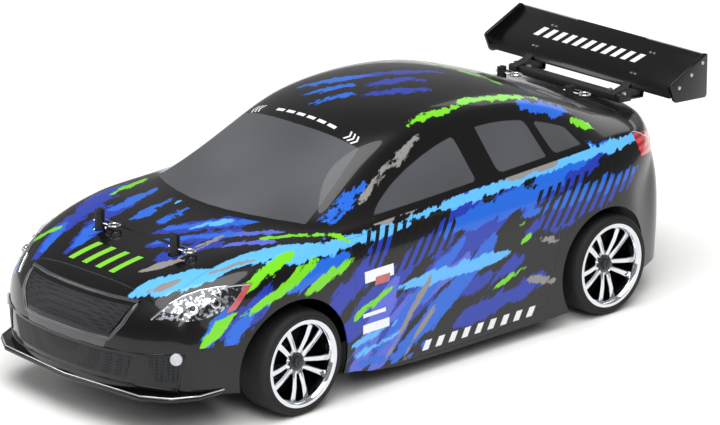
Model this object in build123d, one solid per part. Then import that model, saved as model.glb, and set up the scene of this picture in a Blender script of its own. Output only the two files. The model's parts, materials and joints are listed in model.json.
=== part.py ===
from build123d import *
import math
import os

# Radio-controlled touring car, 1:10 scale, millimetres.
# +Z is up and the ground is z = 0. The nose points along -Y and the car's left side is +X.

# Stance
WHEELBASE = 260.0
FRONT_AXLE_Y = -127.0
REAR_AXLE_Y = FRONT_AXLE_Y + WHEELBASE
TYRE_R = 32.0
TYRE_OUTER_X = 95.0
TYRE_WIDTH = 26.0
RIM_R = 26.5
AXLE_Z = TYRE_R

# Body shell: thin painted polycarbonate, open underneath
SHELL_WALL = 1.5
ARCH_FRONT_Y = FRONT_AXLE_Y - 3.5
ARCH_REAR_Y = REAR_AXLE_Y - 4.0
ARCH_FRONT_R = 41.0
ARCH_REAR_R = 39.5
ARCH_INNER_X = 50.0

# Each station is y, then (x, z) from the centre line out over the shoulder and down to the skirt
SHELL_STATIONS = (
    (-231, (0, 68), (25, 67.5), (42, 66), (50, 62), (54, 56), (55, 45), (54, 30)),
    (-224, (0, 75), (26, 75), (44, 74), (56, 70), (63, 63), (66, 50), (64, 27)),
    (-214, (0, 81), (28, 81.5), (48, 81), (62, 78), (72, 70), (75, 52), (73, 25)),
    (-200, (0, 87), (30, 88), (52, 88), (69, 85), (80, 75), (83, 52), (81, 23)),
    (-180, (0, 93), (32, 94), (56, 95), (75, 93), (88, 80), (91, 55), (90, 21)),
    (-150, (0, 98.5), (34, 99), (60, 100), (77, 98.5), (92, 84), (94.5, 60), (94, 20)),
    (-118, (0, 104), (34, 103.5), (62, 102), (78, 100.5), (91, 86), (94, 60), (93, 18)),
    (-100, (0, 113), (34, 111), (66, 103), (79, 101), (90, 86), (93, 55), (92.5, 14)),
    (-70, (0, 128), (32, 126.5), (59, 117.5), (79.5, 102), (90, 87), (93, 50), (92.5, 11)),
    (-38, (0, 143.5), (30, 142), (52.5, 135.5), (80, 103.5), (90, 88), (92.5, 50), (92, 9.5)),
    (-10, (0, 150.5), (30, 149), (55, 143), (80, 104.5), (90, 89), (92.5, 50), (92, 9)),
    (25, (0, 153), (30, 152), (57, 147), (80, 105.5), (90, 90), (92.5, 50), (92, 9)),
    (65, (0, 150.5), (30, 149.5), (57, 146), (80, 107), (90, 91), (92.5, 50), (92, 9)),
    (100, (0, 144.5), (30, 143.5), (56, 140), (80, 109), (90, 93), (93, 55), (92, 11)),
    (130, (0, 135), (30, 134), (56, 131), (79.5, 110), (91, 93), (94.5, 60), (93.5, 15)),
    (158, (0, 122.5), (30, 121.5), (56, 118), (78, 110.5), (89.5, 93), (93.5, 60), (92.5, 18)),
    (176, (0, 116), (30, 115.5), (56, 114), (76.5, 110), (87, 92), (91, 60), (90, 19)),
    (190, (0, 113), (30, 113), (55, 112), (72, 107), (82, 90), (88, 60), (87, 20)),
    (200, (0, 112), (29, 112), (50, 110), (62, 104), (73, 86), (83, 60), (82, 20)),
    (209, (0, 110), (26, 108), (40, 102), (52, 92), (64, 80), (74, 58), (73, 20)),
    (218, (0, 84), (20, 84), (34, 82), (44, 78), (52, 70), (56, 52), (54, 22)),
)

# Body posts and their clips: x, y, foot, collar and top heights, and clip height
POST_R = 3.0
POST_HOLE_R = 4.2
COLLAR_R = 6.0
FRONT_POST = (33.4, -172.0)
REAR_POST = (30.0, 161.0)
FRONT_POST_Z = (8.5, 92.5, 107.0)
REAR_POST_Z = (8.5, 114.5, 128.0)
FRONT_CLIP_Z = 99.0
REAR_CLIP_Z = 124.5
CLIP_WIRE_R = 0.7
CLIP_SLOT = 1.9
CLIP_LEG_Y = 4.2
CLIP_REACH = 8.0

# Rear wing, as (y, z) outlines
WING_HALF_SPAN = 80.0
PLATE_T = 2.5
WING_TAIL_Y = 231.0
WING_BLADE = ((198.5, 122.5), (204, 130), (217, 137.5), (WING_TAIL_Y, 145.5),
              (WING_TAIL_Y, 143), (217, 134), (206, 125.5))
WING_PLATE = ((196.5, 132), (WING_TAIL_Y, 146.5), (WING_TAIL_Y, 117.5), (201, 119.5))
STAND_X = 43.0
STAND_T = 6.0
STAND_OUTLINE = ((184, 117.5), (184, 121), (196, 123.5), (207, 130), (217, 133.2),
                 (226, 139), (226, 136.5), (214, 122), (211, 113.5), (196, 115))
BASE_BAR = ((186, 115.5), (186, 121), (197, 119), (197, 114.8))

# Chassis tub: (x, y) half outline of the floor, from the nose to the tail
TUB_Z = 6.0
FLOOR_T = 2.5
FLOOR_TOP = TUB_Z + FLOOR_T
TUB_OUTLINE = ((24, -190), (39, -182), (39, -164), (25, -156), (25, -104), (62, -84),
               (62, 86), (25, 106), (25, 150), (36, 154), (36, 172))
TUB_WALL = 2.5
TUB_WALL_TOP = 22.0

# Drive line
SHAFT_Z = 27.5
SHAFT_R = 2.5
GEAR_MODULE = 0.8
SPUR_TEETH = 44
PINION_TEETH = 14
GEAR_BACKLASH = 0.25
GEAR_Y = (89.0, 94.0)
MOTOR_R = 17.9
MOTOR_Y = (34.0, 84.0)
MOTOR_X = GEAR_MODULE * (SPUR_TEETH + PINION_TEETH) / 2 + GEAR_BACKLASH
BULKHEAD_Y = (84.2, 87.2)
GEARBOX_HALF_X = 16.0
GEARBOX_HALF_Y = 15.0
GEARBOX_TOP = 50.0

# Suspension of the left side, measured from each axle line
ARM_PIVOT_X = 22.0
ARM_PIVOT_Z = 15.0
HUB_PIVOT_X = 62.0
LINK_Z = 41.0
LINK_DY = 9.0
PIN_R = 1.5
RUN_CLEARANCE = 0.06
DAMPER_DY = 13.0
DAMPER_TOP = (36.0, 66.0)
DAMPER_FOOT = (50.0, 22.5)
DAMPER_BODY_R = 5.5
DAMPER_ROD_R = 1.5
SPRING_SEAT_R = 6.8
OPEN_CLEARANCE = 0.7
KINGPIN_X = 68.0
KINGPIN_R = 1.8
AXLE_R = 2.5
STEER_ARM_DY = 22.0
STEER_ARM_X = 62.0
STEER_ARM_Z = (23.0, 26.0)
TIE_ROD_Z = (26.6, 30.6)

# Steering servo and its horn
SERVO_LOW = (-59.0, -98.0, 9.0)
SERVO_HIGH = (-19.0, -62.0, 29.0)
HORN_X = -28.0
HORN_Z = 18.0
HORN_ARM = 16.0
HORN_Y = (-103.2, -100.6)


def block(low, high):
    """Box between two opposite corners."""
    size = [b - a for a, b in zip(low, high)]
    middle = [(a + b) / 2 for a, b in zip(low, high)]
    return Pos(*middle) * Box(*size)


def bar(start, end, radius):
    """Round bar between two points."""
    start = Vector(*start)
    end = Vector(*end)
    plane = Plane(origin=start, z_dir=end - start)
    return plane * Cylinder(radius, (end - start).length, align=(Align.CENTER, Align.CENTER, Align.MIN))


def plate_yz(outline, x_low, x_high):
    """Plate cut to a (y, z) outline, between two x values."""
    wire = Wire.make_polygon([(x_low, y, z) for y, z in outline], close=True)
    return extrude(Face(wire), amount=x_high - x_low, dir=(1, 0, 0))


def plate_xz(outline, y_low, y_high):
    """Plate cut to an (x, z) outline, between two y values."""
    wire = Wire.make_polygon([(x, y_low, z) for x, z in outline], close=True)
    return extrude(Face(wire), amount=y_high - y_low, dir=(0, 1, 0))


def plate_xy(outline, z_low, z_high):
    """Plate cut to an (x, y) outline, between two z values."""
    wire = Wire.make_polygon([(x, y, z_low) for x, y in outline], close=True)
    return extrude(Face(wire), amount=z_high - z_low, dir=(0, 0, 1))


def both_sides(half_outline):
    """Close a half outline with its mirror image across x = 0."""
    return list(half_outline) + [(-x, y) for x, y in reversed(half_outline)]


def ring(centre, outer_r, inner_r, y_low, y_high):
    """Ring about a line parallel to Y, with centre (x, z)."""
    x, z = centre
    outer = bar((x, y_low, z), (x, y_high, z), outer_r)
    return outer - bar((x, y_low - 1, z), (x, y_high + 1, z), inner_r)


def mirrored(shape, side):
    """The left-hand shape itself, or its mirror image for the right-hand side."""
    return shape if side == "left" else mirror(shape, about=Plane.YZ)


# ---- body shell -------------------------------------------------------------

def inset_line(points, depth):
    """Move a station's half outline inwards by the wall thickness."""
    moved = []
    for i, (x, z) in enumerate(points):
        before = points[i - 1] if i else (-points[1][0], points[1][1])
        after = points[i + 1] if i + 1 < len(points) else (x, z)
        along = Vector(after[0] - before[0], after[1] - before[1]).normalized()
        moved.append((x + along.Y * depth, z - along.X * depth))
    moved[0] = (0, moved[0][1])
    return moved


def station_wire(y, points, skirt_drop):
    half = list(points)
    half[-1] = (half[-1][0], half[-1][1] - skirt_drop)
    loop = half + [(-x, z) for x, z in reversed(half[1:])]
    return Wire.make_polygon([(x, y, z) for x, z in loop], close=True)


def shell_solid(inset, skirt_drop):
    """Lofted body of the shell, inset all round and lengthened at the skirt."""
    wires = []
    last = len(SHELL_STATIONS) - 1
    for i, (y, *points) in enumerate(SHELL_STATIONS):
        end_shift = inset if i == 0 else -inset if i == last else 0
        line = inset_line(points, inset) if inset else points
        wires.append(station_wire(y + end_shift, line, skirt_drop))
    return Solid.make_loft(wires, ruled=True)


def make_body_shell():
    shell = shell_solid(0, 0) - shell_solid(SHELL_WALL, 8)
    arches = ((ARCH_FRONT_Y, ARCH_FRONT_R), (ARCH_REAR_Y, ARCH_REAR_R))
    for arch_y, arch_r in arches:
        for side in (-1, 1):
            start = (side * ARCH_INNER_X, arch_y, AXLE_Z)
            end = (side * (TYRE_OUTER_X + 10), arch_y, AXLE_Z)
            shell -= bar(start, end, arch_r)
    for post_x, post_y in (FRONT_POST, REAR_POST):
        for side in (-1, 1):
            shell -= bar((side * post_x, post_y, 80), (side * post_x, post_y, 140), POST_HOLE_R)
    return shell


def make_rear_wing():
    wing = plate_yz(WING_BLADE, -WING_HALF_SPAN, WING_HALF_SPAN)
    for side in (-1, 1):
        inner = side * WING_HALF_SPAN
        outer = side * (WING_HALF_SPAN + PLATE_T)
        wing += plate_yz(WING_PLATE, min(inner, outer), max(inner, outer))
    return wing


def make_wing_stands():
    stand = plate_yz(STAND_OUTLINE, STAND_X - STAND_T / 2, STAND_X + STAND_T / 2)
    blade_room = plate_yz(WING_BLADE, 0, WING_HALF_SPAN)
    stand = stand - blade_room
    base = plate_yz(BASE_BAR, -STAND_X - 6, STAND_X + 6)
    return base + stand + mirror(stand, about=Plane.YZ)


def make_clip(x, y, z):
    """R-shaped spring clip lying flat, with its ring on the +X side of the post."""
    pin = bar((x - 5, y, z), (x + CLIP_REACH, y, z), CLIP_WIRE_R)
    leg = bar((x - 3, y + CLIP_LEG_Y, z), (x + CLIP_REACH, y + CLIP_LEG_Y, z), CLIP_WIRE_R)
    ring_r = CLIP_LEG_Y * 0.8
    eye = Pos(x + CLIP_REACH + ring_r * 0.78, y + CLIP_LEG_Y / 2, z) * Torus(ring_r, CLIP_WIRE_R)
    return pin + leg + eye


# ---- chassis ----------------------------------------------------------------

def damper_side(axle_y):
    """Dampers sit ahead of the front axle and behind the rear axle."""
    return -1 if axle_y < 0 else 1


def link_span(axle_y, near, far):
    """Two y values at these distances from the axle, on the side away from the dampers."""
    return sorted((axle_y - damper_side(axle_y) * near, axle_y - damper_side(axle_y) * far))


def make_chassis_tub():
    outline = both_sides(TUB_OUTLINE)
    tub = plate_xy(outline, TUB_Z, FLOOR_TOP)
    for side in (-1, 1):
        edge = side * 62
        inner = side * (62 - TUB_WALL)
        tub += block((min(edge, inner), -80, FLOOR_TOP), (max(edge, inner), 84, TUB_WALL_TOP))
    tub += block((-40, BULKHEAD_Y[0], FLOOR_TOP), (48, BULKHEAD_Y[1], 47))
    tub -= bar((MOTOR_X, 80, SHAFT_Z), (MOTOR_X, 90, SHAFT_Z), 7)
    tub -= bar((0, 80, SHAFT_Z), (0, 90, SHAFT_Z), SHAFT_R + 0.6)
    tub += block((-9.5, -56, FLOOR_TOP), (-7, 83, 18))
    tub += block((-24, -190, FLOOR_TOP), (24, -187, 46))
    return tub


def make_bumper_foam():
    outline = [(-62, -203), (-40, -213), (40, -213), (62, -203), (60, -191), (-60, -191)]
    foam = plate_xy(outline, 26, 48)
    return fillet(foam.edges().filter_by(Axis.Z), 4)


def make_gearbox(axle_y):
    """Differential housing with lugs for the lower pins and the upper link pins."""
    low_y = axle_y - GEARBOX_HALF_Y
    high_y = axle_y + GEARBOX_HALF_Y
    box = block((-GEARBOX_HALF_X, low_y, FLOOR_TOP), (GEARBOX_HALF_X, high_y, GEARBOX_TOP))
    box = fillet(box.edges().filter_by(Axis.Y).group_by(Axis.Z)[-1], 8)
    for side in (-1, 1):
        for end in (-1, 1):
            near = axle_y + end * (GEARBOX_HALF_Y + 1.5)
            far = axle_y + end * (GEARBOX_HALF_Y + 5)
            edge = side * (ARM_PIVOT_X + 4)
            inner = side * (GEARBOX_HALF_X - 6)
            low = (min(edge, inner), min(near, far), FLOOR_TOP)
            high = (max(edge, inner), max(near, far), ARM_PIVOT_Z + 4)
            box += block(low, high)
        foot = side * (GEARBOX_HALF_X - 6)
        box += block((min(foot, foot + side * 3), low_y - 5, FLOOR_TOP),
                     (max(foot, foot + side * 3), high_y + 5, ARM_PIVOT_Z + 4))
        shelf = side * (ARM_PIVOT_X + 3.5)
        shelf_y = link_span(axle_y, LINK_DY - 6.5, LINK_DY - 3.5)
        low = (min(0, shelf), shelf_y[0], LINK_Z - 3.5)
        high = (max(0, shelf), shelf_y[1], LINK_Z + 3.5)
        box += block(low, high)
        pin_x = side * ARM_PIVOT_X
        box -= bar((pin_x, axle_y - 30, ARM_PIVOT_Z), (pin_x, axle_y + 30, ARM_PIVOT_Z), PIN_R)
        box -= bar((pin_x, axle_y - 30, LINK_Z), (pin_x, axle_y + 30, LINK_Z), PIN_R)
    return box


def make_hinge_pins():
    """Steel pins of the four lower arms and the four upper links."""
    pins = []
    for axle_y in (FRONT_AXLE_Y, REAR_AXLE_Y):
        for side in (-1, 1):
            x = side * ARM_PIVOT_X
            reach = GEARBOX_HALF_Y + 6
            pins.append(bar((x, axle_y - reach, ARM_PIVOT_Z), (x, axle_y + reach, ARM_PIVOT_Z), PIN_R))
            start, end = link_span(axle_y, LINK_DY - 6.5, LINK_DY + 4.5)
            pins.append(bar((x, start, LINK_Z), (x, end, LINK_Z), PIN_R))
    return Compound(children=pins)


def make_damper_towers():
    top_x, top_z = DAMPER_TOP
    outline = ((12, GEARBOX_TOP + 0.2), (30, GEARBOX_TOP + 4), (top_x + 5, top_z - 5), (top_x + 5, top_z + 5),
               (top_x - 5, top_z + 5), (14, top_z - 2))
    towers = []
    for axle_y in (FRONT_AXLE_Y, REAR_AXLE_Y):
        toward = damper_side(axle_y)
        faces = sorted((axle_y + toward * 3, axle_y + toward * 6))
        tower = plate_xz(both_sides(outline), *faces)
        for side in (-1, 1):
            start = (side * top_x, axle_y + toward * 4, top_z)
            end = (side * top_x, axle_y + toward * (DAMPER_DY + 4.5), top_z)
            tower += bar(start, end, PIN_R)
        towers.append(tower)
    return Compound(children=towers)


def make_body_posts():
    """Four body posts. The slot at each top takes the clip and is open upwards."""
    posts = []
    rows = ((FRONT_POST, FRONT_POST_Z, FRONT_CLIP_Z), (REAR_POST, REAR_POST_Z, REAR_CLIP_Z))
    for (x, y), (foot, collar, top), clip_z in rows:
        for side in (-1, 1):
            centre = side * x
            post = bar((centre, y, foot), (centre, y, top), POST_R)
            post += bar((centre, y, collar - 3), (centre, y, collar), COLLAR_R)
            post += bar((centre, y, foot), (centre, y, foot + 8), POST_R + 2)
            slot_low = (centre - 8, y - CLIP_SLOT / 2, clip_z - CLIP_SLOT / 2)
            slot_high = (centre + 8, y + CLIP_SLOT / 2, top + 1)
            posts.append(post - block(slot_low, slot_high))
    return Compound(children=posts)


def make_steering_servo():
    servo = block(SERVO_LOW, SERVO_HIGH)
    servo = fillet(servo.edges().filter_by(Axis.Y), 1.5)
    tab_low = (SERVO_LOW[0] - 2.5, -92, 12)
    tab_high = (SERVO_HIGH[0] + 5, -89.5, 26)
    servo += block(tab_low, tab_high)
    return servo + bar((HORN_X, SERVO_LOW[1], HORN_Z), (HORN_X, HORN_Y[1] + 0.2, HORN_Z), 3)


def make_battery_pack():
    pack = block((-58.5, -56, FLOOR_TOP), (-11.5, 83, FLOOR_TOP + 24))
    return fillet(pack.edges().filter_by(Axis.Y), 5)


def make_motor():
    can = bar((MOTOR_X, MOTOR_Y[0], SHAFT_Z), (MOTOR_X, MOTOR_Y[1], SHAFT_Z), MOTOR_R)
    can = fillet(can.edges().filter_by(GeomType.CIRCLE), 1.5)
    can += bar((MOTOR_X, MOTOR_Y[0] - 3, SHAFT_Z), (MOTOR_X, MOTOR_Y[0], SHAFT_Z), 6)
    return can + bar((MOTOR_X, MOTOR_Y[1], SHAFT_Z), (MOTOR_X, GEAR_Y[0] - 2.2, SHAFT_Z), 5)


def make_speed_controller():
    """Combined receiver and speed controller, with a finned lid and a switch housing."""
    unit = block((12, -66, FLOOR_TOP), (50, -14, 26))
    unit = fillet(unit.edges().filter_by(Axis.Z), 2)
    for i in range(7):
        fin_x = 16 + i * 4.5
        unit += block((fin_x, -60, 26), (fin_x + 1.5, -32, 31))
    unit += block((34, -14, FLOOR_TOP), (48, 12, 20))
    unit -= block((38, -6, 17), (44, 8, 21))
    return unit


def make_switch_slider():
    return block((38.4, -5.4, 17.3), (43.6, 0.6, 18.8)) + block((39.5, -3.9, 18.8), (42.5, -0.9, 23))


# ---- drive line -------------------------------------------------------------

def gear(teeth, centre, turn):
    """Spur gear about a line parallel to Y, with trapezoid teeth and one tooth at `turn` degrees."""
    pitch_r = GEAR_MODULE * teeth / 2
    root_r = pitch_r - 1.15 * GEAR_MODULE
    tip_r = pitch_r + 0.85 * GEAR_MODULE
    half_root = math.degrees(0.92 * GEAR_MODULE / root_r)
    half_tip = math.degrees(0.34 * GEAR_MODULE / tip_r)
    outline = []
    for i in range(teeth):
        middle = turn + 360 * i / teeth
        corners = ((root_r, -half_root), (tip_r, -half_tip), (tip_r, half_tip), (root_r, half_root))
        for radius, offset in corners:
            angle = math.radians(middle + offset)
            outline.append((centre[0] + radius * math.cos(angle), centre[1] + radius * math.sin(angle)))
    return plate_xz(outline, *GEAR_Y)


def make_spur_gear():
    wheel = gear(SPUR_TEETH, (0, SHAFT_Z), 0)
    wheel -= bar((0, GEAR_Y[0] - 1, SHAFT_Z), (0, GEAR_Y[1] + 1, SHAFT_Z), SHAFT_R)
    for i in range(5):
        angle = math.radians(72 * i)
        x = 10 * math.cos(angle)
        z = SHAFT_Z + 10 * math.sin(angle)
        wheel -= bar((x, GEAR_Y[0] - 1, z), (x, GEAR_Y[1] + 1, z), 3)
    return wheel


def make_pinion_gear():
    half_pitch = 180 / PINION_TEETH
    wheel = gear(PINION_TEETH, (MOTOR_X, SHAFT_Z), 180 + half_pitch)
    return wheel + bar((MOTOR_X, GEAR_Y[1], SHAFT_Z), (MOTOR_X, GEAR_Y[1] + 4, SHAFT_Z), 4)


def make_centre_shaft():
    front = FRONT_AXLE_Y + GEARBOX_HALF_Y + 0.5
    rear = REAR_AXLE_Y - GEARBOX_HALF_Y - 0.5
    shaft = bar((0, front, SHAFT_Z), (0, rear, SHAFT_Z), SHAFT_R)
    shaft += bar((0, front, SHAFT_Z), (0, front + 10, SHAFT_Z), 4.5)
    return shaft + bar((0, rear - 10, SHAFT_Z), (0, rear, SHAFT_Z), 4.5)


# ---- steering linkage -------------------------------------------------------

def make_servo_horn():
    low_y, high_y = HORN_Y
    tip_z = HORN_Z + HORN_ARM
    horn = bar((HORN_X, low_y, HORN_Z), (HORN_X, high_y, HORN_Z), 4.5)
    horn += block((HORN_X - 2.2, low_y, HORN_Z), (HORN_X + 2.2, high_y, tip_z))
    return horn + bar((HORN_X, low_y, tip_z), (HORN_X, high_y, tip_z), 3)


def make_drag_link():
    """Sliding bar between the tie rods, with the short link to the servo horn."""
    y = FRONT_AXLE_Y + STEER_ARM_DY
    low_z = TIE_ROD_Z[1] + 2
    link = block((-ARM_PIVOT_X - 3, y - 3, low_z), (ARM_PIVOT_X + 3, y + 1.4, low_z + 3.4))
    for side in (-1, 1):
        x = side * ARM_PIVOT_X
        link += block((x - 3, y - 3, TIE_ROD_Z[0]), (x + 3, y - 1.6, low_z))
    horn_z = HORN_Z + HORN_ARM
    link += bar((HORN_X, y + 1.4, horn_z), (HORN_X, y - 2.6, horn_z), 3)
    return link + block((HORN_X, y - 2.6, horn_z - 1.2), (-ARM_PIVOT_X, y + 1.4, horn_z + 1.2))


def make_tie_rod():
    """Left tie rod: an eye over the steering arm and a fork end on the drag link."""
    y = FRONT_AXLE_Y + STEER_ARM_DY
    middle_z = sum(TIE_ROD_Z) / 2
    rod = bar((ARM_PIVOT_X, y, middle_z), (STEER_ARM_X, y, middle_z), 1.4)
    rod += bar((ARM_PIVOT_X, y - 1.4, middle_z), (ARM_PIVOT_X, y + 1.5, middle_z), 2)
    return rod + bar((STEER_ARM_X, y, TIE_ROD_Z[0]), (STEER_ARM_X, y, TIE_ROD_Z[1]), 3.5)


# ---- one corner of the car, left side ---------------------------------------

def make_lower_arm(axle_y):
    """Wishbone with its inner barrel, outer fork and damper pin."""
    half = GEARBOX_HALF_Y
    inner = HUB_PIVOT_X - 10
    outer = HUB_PIVOT_X + 3
    outline = ((ARM_PIVOT_X, axle_y - half), (inner, axle_y - half), (outer, axle_y - 9),
               (outer, axle_y + 9), (inner, axle_y + half), (ARM_PIVOT_X, axle_y + half))
    arm = plate_xy(outline, ARM_PIVOT_Z - 2, ARM_PIVOT_Z + 2)
    arm -= block((ARM_PIVOT_X + 7, axle_y - 9, 0), (inner - 8, axle_y + 9, 30))
    arm -= block((HUB_PIVOT_X - 5, axle_y - 6, 0), (outer + 5, axle_y + 6, 30))
    arm += bar((ARM_PIVOT_X, axle_y - half, ARM_PIVOT_Z), (ARM_PIVOT_X, axle_y + half, ARM_PIVOT_Z), 3.3)
    bore = PIN_R + RUN_CLEARANCE
    arm -= bar((ARM_PIVOT_X, axle_y - 40, ARM_PIVOT_Z), (ARM_PIVOT_X, axle_y + 40, ARM_PIVOT_Z), bore)
    arm += bar((HUB_PIVOT_X, axle_y - 9, ARM_PIVOT_Z), (HUB_PIVOT_X, axle_y + 9, ARM_PIVOT_Z), PIN_R)
    toward = damper_side(axle_y)
    foot_x, foot_z = DAMPER_FOOT
    lug = sorted((axle_y + toward * 6.5, axle_y + toward * 9.5))
    arm += block((foot_x - 3, lug[0], ARM_PIVOT_Z), (foot_x + 3, lug[1], foot_z + 3))
    start = (foot_x, axle_y + toward * 8, foot_z)
    arm += bar(start, (foot_x, axle_y + toward * (DAMPER_DY + 4.5), foot_z), PIN_R)
    return arm


def hub_barrel(axle_y):
    """Lower barrel and upper link pin shared by every hub."""
    barrel = bar((HUB_PIVOT_X, axle_y - 5.5, ARM_PIVOT_Z), (HUB_PIVOT_X, axle_y + 5.5, ARM_PIVOT_Z), 3.3)
    start, end = link_span(axle_y, 0, LINK_DY + 4.5)
    return barrel + bar((HUB_PIVOT_X, start, LINK_Z), (HUB_PIVOT_X, end, LINK_Z), PIN_R)


def cut_hub_bore(hub, axle_y):
    bore = PIN_R + RUN_CLEARANCE
    return hub - bar((HUB_PIVOT_X, axle_y - 9, ARM_PIVOT_Z), (HUB_PIVOT_X, axle_y + 9, ARM_PIVOT_Z), bore)


def make_c_hub(axle_y):
    """Front hub that holds the kingpins above and below the knuckle."""
    hub = hub_barrel(axle_y)
    hub += block((60, axle_y - 5.5, ARM_PIVOT_Z + 2), (62.7, axle_y + 5.5, 47))
    hub += block((60, axle_y - 8.5, 26.5), (62.7, axle_y + 8.5, 37.2))
    for low, high in ((18.2, 21.4), (42.6, 45.8)):
        hub += block((60, axle_y - 4.5, low), (KINGPIN_X, axle_y + 4.5, high))
        hub += bar((KINGPIN_X, axle_y, low), (KINGPIN_X, axle_y, high), 4.5)
    kingpin = KINGPIN_R + RUN_CLEARANCE
    hub -= bar((KINGPIN_X, axle_y, 10), (KINGPIN_X, axle_y, 60), kingpin)
    hub -= bar((55, axle_y, AXLE_Z), (66, axle_y, AXLE_Z), 6.3)
    return cut_hub_bore(hub, axle_y)


def make_knuckle(axle_y):
    """Steering knuckle with kingpins, axle bore and a steering arm to the rear."""
    knuckle = block((66, axle_y - 4.3, 21.8), (73, axle_y + 4.3, 42.2))
    knuckle += bar((66, axle_y, AXLE_Z), (73.5, axle_y, AXLE_Z), 7)
    knuckle += bar((KINGPIN_X, axle_y, 18.4), (KINGPIN_X, axle_y, 45.6), KINGPIN_R)
    tip_y = axle_y + STEER_ARM_DY
    arm = ((66.2, axle_y + 3), (70.5, axle_y + 3), (STEER_ARM_X + 3, tip_y), (STEER_ARM_X - 2, tip_y))
    knuckle += plate_xy(arm, *STEER_ARM_Z)
    knuckle += bar((STEER_ARM_X, tip_y, STEER_ARM_Z[0]), (STEER_ARM_X, tip_y, STEER_ARM_Z[1]), 3.5)
    knuckle -= bar((60, axle_y, AXLE_Z), (80, axle_y, AXLE_Z), AXLE_R + RUN_CLEARANCE)
    return knuckle


def make_rear_hub(axle_y):
    """Rear hub carrier: one block with the axle bore and a recess for the drive cup."""
    hub = hub_barrel(axle_y)
    outline = ((60, 16), (66, 16), (73, 24), (73, 40), (66, 45.5), (59, 45.5))
    hub += plate_xz(outline, axle_y - 5.5, axle_y + 5.5)
    hub += bar((64, axle_y, AXLE_Z), (73.5, axle_y, AXLE_Z), 8)
    hub -= bar((55, axle_y, AXLE_Z), (66, axle_y, AXLE_Z), 5.3)
    hub -= bar((55, axle_y, AXLE_Z), (80, axle_y, AXLE_Z), AXLE_R + RUN_CLEARANCE)
    return cut_hub_bore(hub, axle_y)


def make_upper_link(axle_y):
    low_y, high_y = link_span(axle_y, LINK_DY - 3, LINK_DY + 3)
    middle_y = (low_y + high_y) / 2
    link = bar((ARM_PIVOT_X, middle_y, LINK_Z), (HUB_PIVOT_X, middle_y, LINK_Z), 1.5)
    for x in (ARM_PIVOT_X, HUB_PIVOT_X):
        link += bar((x, low_y, LINK_Z), (x, high_y, LINK_Z), 3.4)
    link -= bar((ARM_PIVOT_X, low_y - 1, LINK_Z), (ARM_PIVOT_X, high_y + 1, LINK_Z), PIN_R + RUN_CLEARANCE)
    outer = PIN_R + OPEN_CLEARANCE
    return link - bar((HUB_PIVOT_X, low_y - 1, LINK_Z), (HUB_PIVOT_X, high_y + 1, LINK_Z), outer)


def damper_point(axle_y, along):
    """Point on the damper's line, `along` millimetres below its top pivot."""
    (top_x, top_z), (foot_x, foot_z) = DAMPER_TOP, DAMPER_FOOT
    share = along / math.dist(DAMPER_TOP, DAMPER_FOOT)
    y = axle_y + damper_side(axle_y) * DAMPER_DY
    return (top_x + (foot_x - top_x) * share, y, top_z + (foot_z - top_z) * share)


def make_damper_body(axle_y):
    y = axle_y + damper_side(axle_y) * DAMPER_DY
    body = bar(damper_point(axle_y, 2.8), damper_point(axle_y, 25), DAMPER_BODY_R)
    body += bar(damper_point(axle_y, 7), damper_point(axle_y, 10), SPRING_SEAT_R)
    body += bar((DAMPER_TOP[0], y - 3, DAMPER_TOP[1]), (DAMPER_TOP[0], y + 3, DAMPER_TOP[1]), 4)
    body -= bar((DAMPER_TOP[0], y - 9, DAMPER_TOP[1]), (DAMPER_TOP[0], y + 9, DAMPER_TOP[1]),
                PIN_R + RUN_CLEARANCE)
    return body - bar(damper_point(axle_y, 7), damper_point(axle_y, 28), DAMPER_ROD_R + RUN_CLEARANCE)


def make_damper_rod(axle_y):
    y = axle_y + damper_side(axle_y) * DAMPER_DY
    foot_x, foot_z = DAMPER_FOOT
    length = math.dist(DAMPER_TOP, DAMPER_FOOT)
    rod = bar(damper_point(axle_y, 12), damper_point(axle_y, length - 3), DAMPER_ROD_R)
    rod += bar(damper_point(axle_y, length - 9.5), damper_point(axle_y, length - 7), SPRING_SEAT_R)
    rod += bar((foot_x, y - 2.8, foot_z), (foot_x, y + 2.8, foot_z), 4)
    return rod - bar((foot_x, y - 9, foot_z), (foot_x, y + 9, foot_z), PIN_R + OPEN_CLEARANCE)


def hexagon(across_flats, y, z):
    """Corners of a hexagon, as (y, z)."""
    corner_r = across_flats / math.sqrt(3)
    angles = [math.radians(60 * i) for i in range(6)]
    return [(y + corner_r * math.cos(a), z + corner_r * math.sin(a)) for a in angles]


def make_axle(axle_y):
    """Stub axle with its drive cup, 12 mm wheel hex and wheel nut."""
    axle = bar((60, axle_y, AXLE_Z), (91, axle_y, AXLE_Z), AXLE_R)
    axle += bar((62, axle_y, AXLE_Z), (65.7, axle_y, AXLE_Z), 4)
    axle += plate_yz(hexagon(12, axle_y, AXLE_Z), 75, 80)
    return axle + plate_yz(hexagon(7, axle_y, AXLE_Z), 85, 89)


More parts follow.
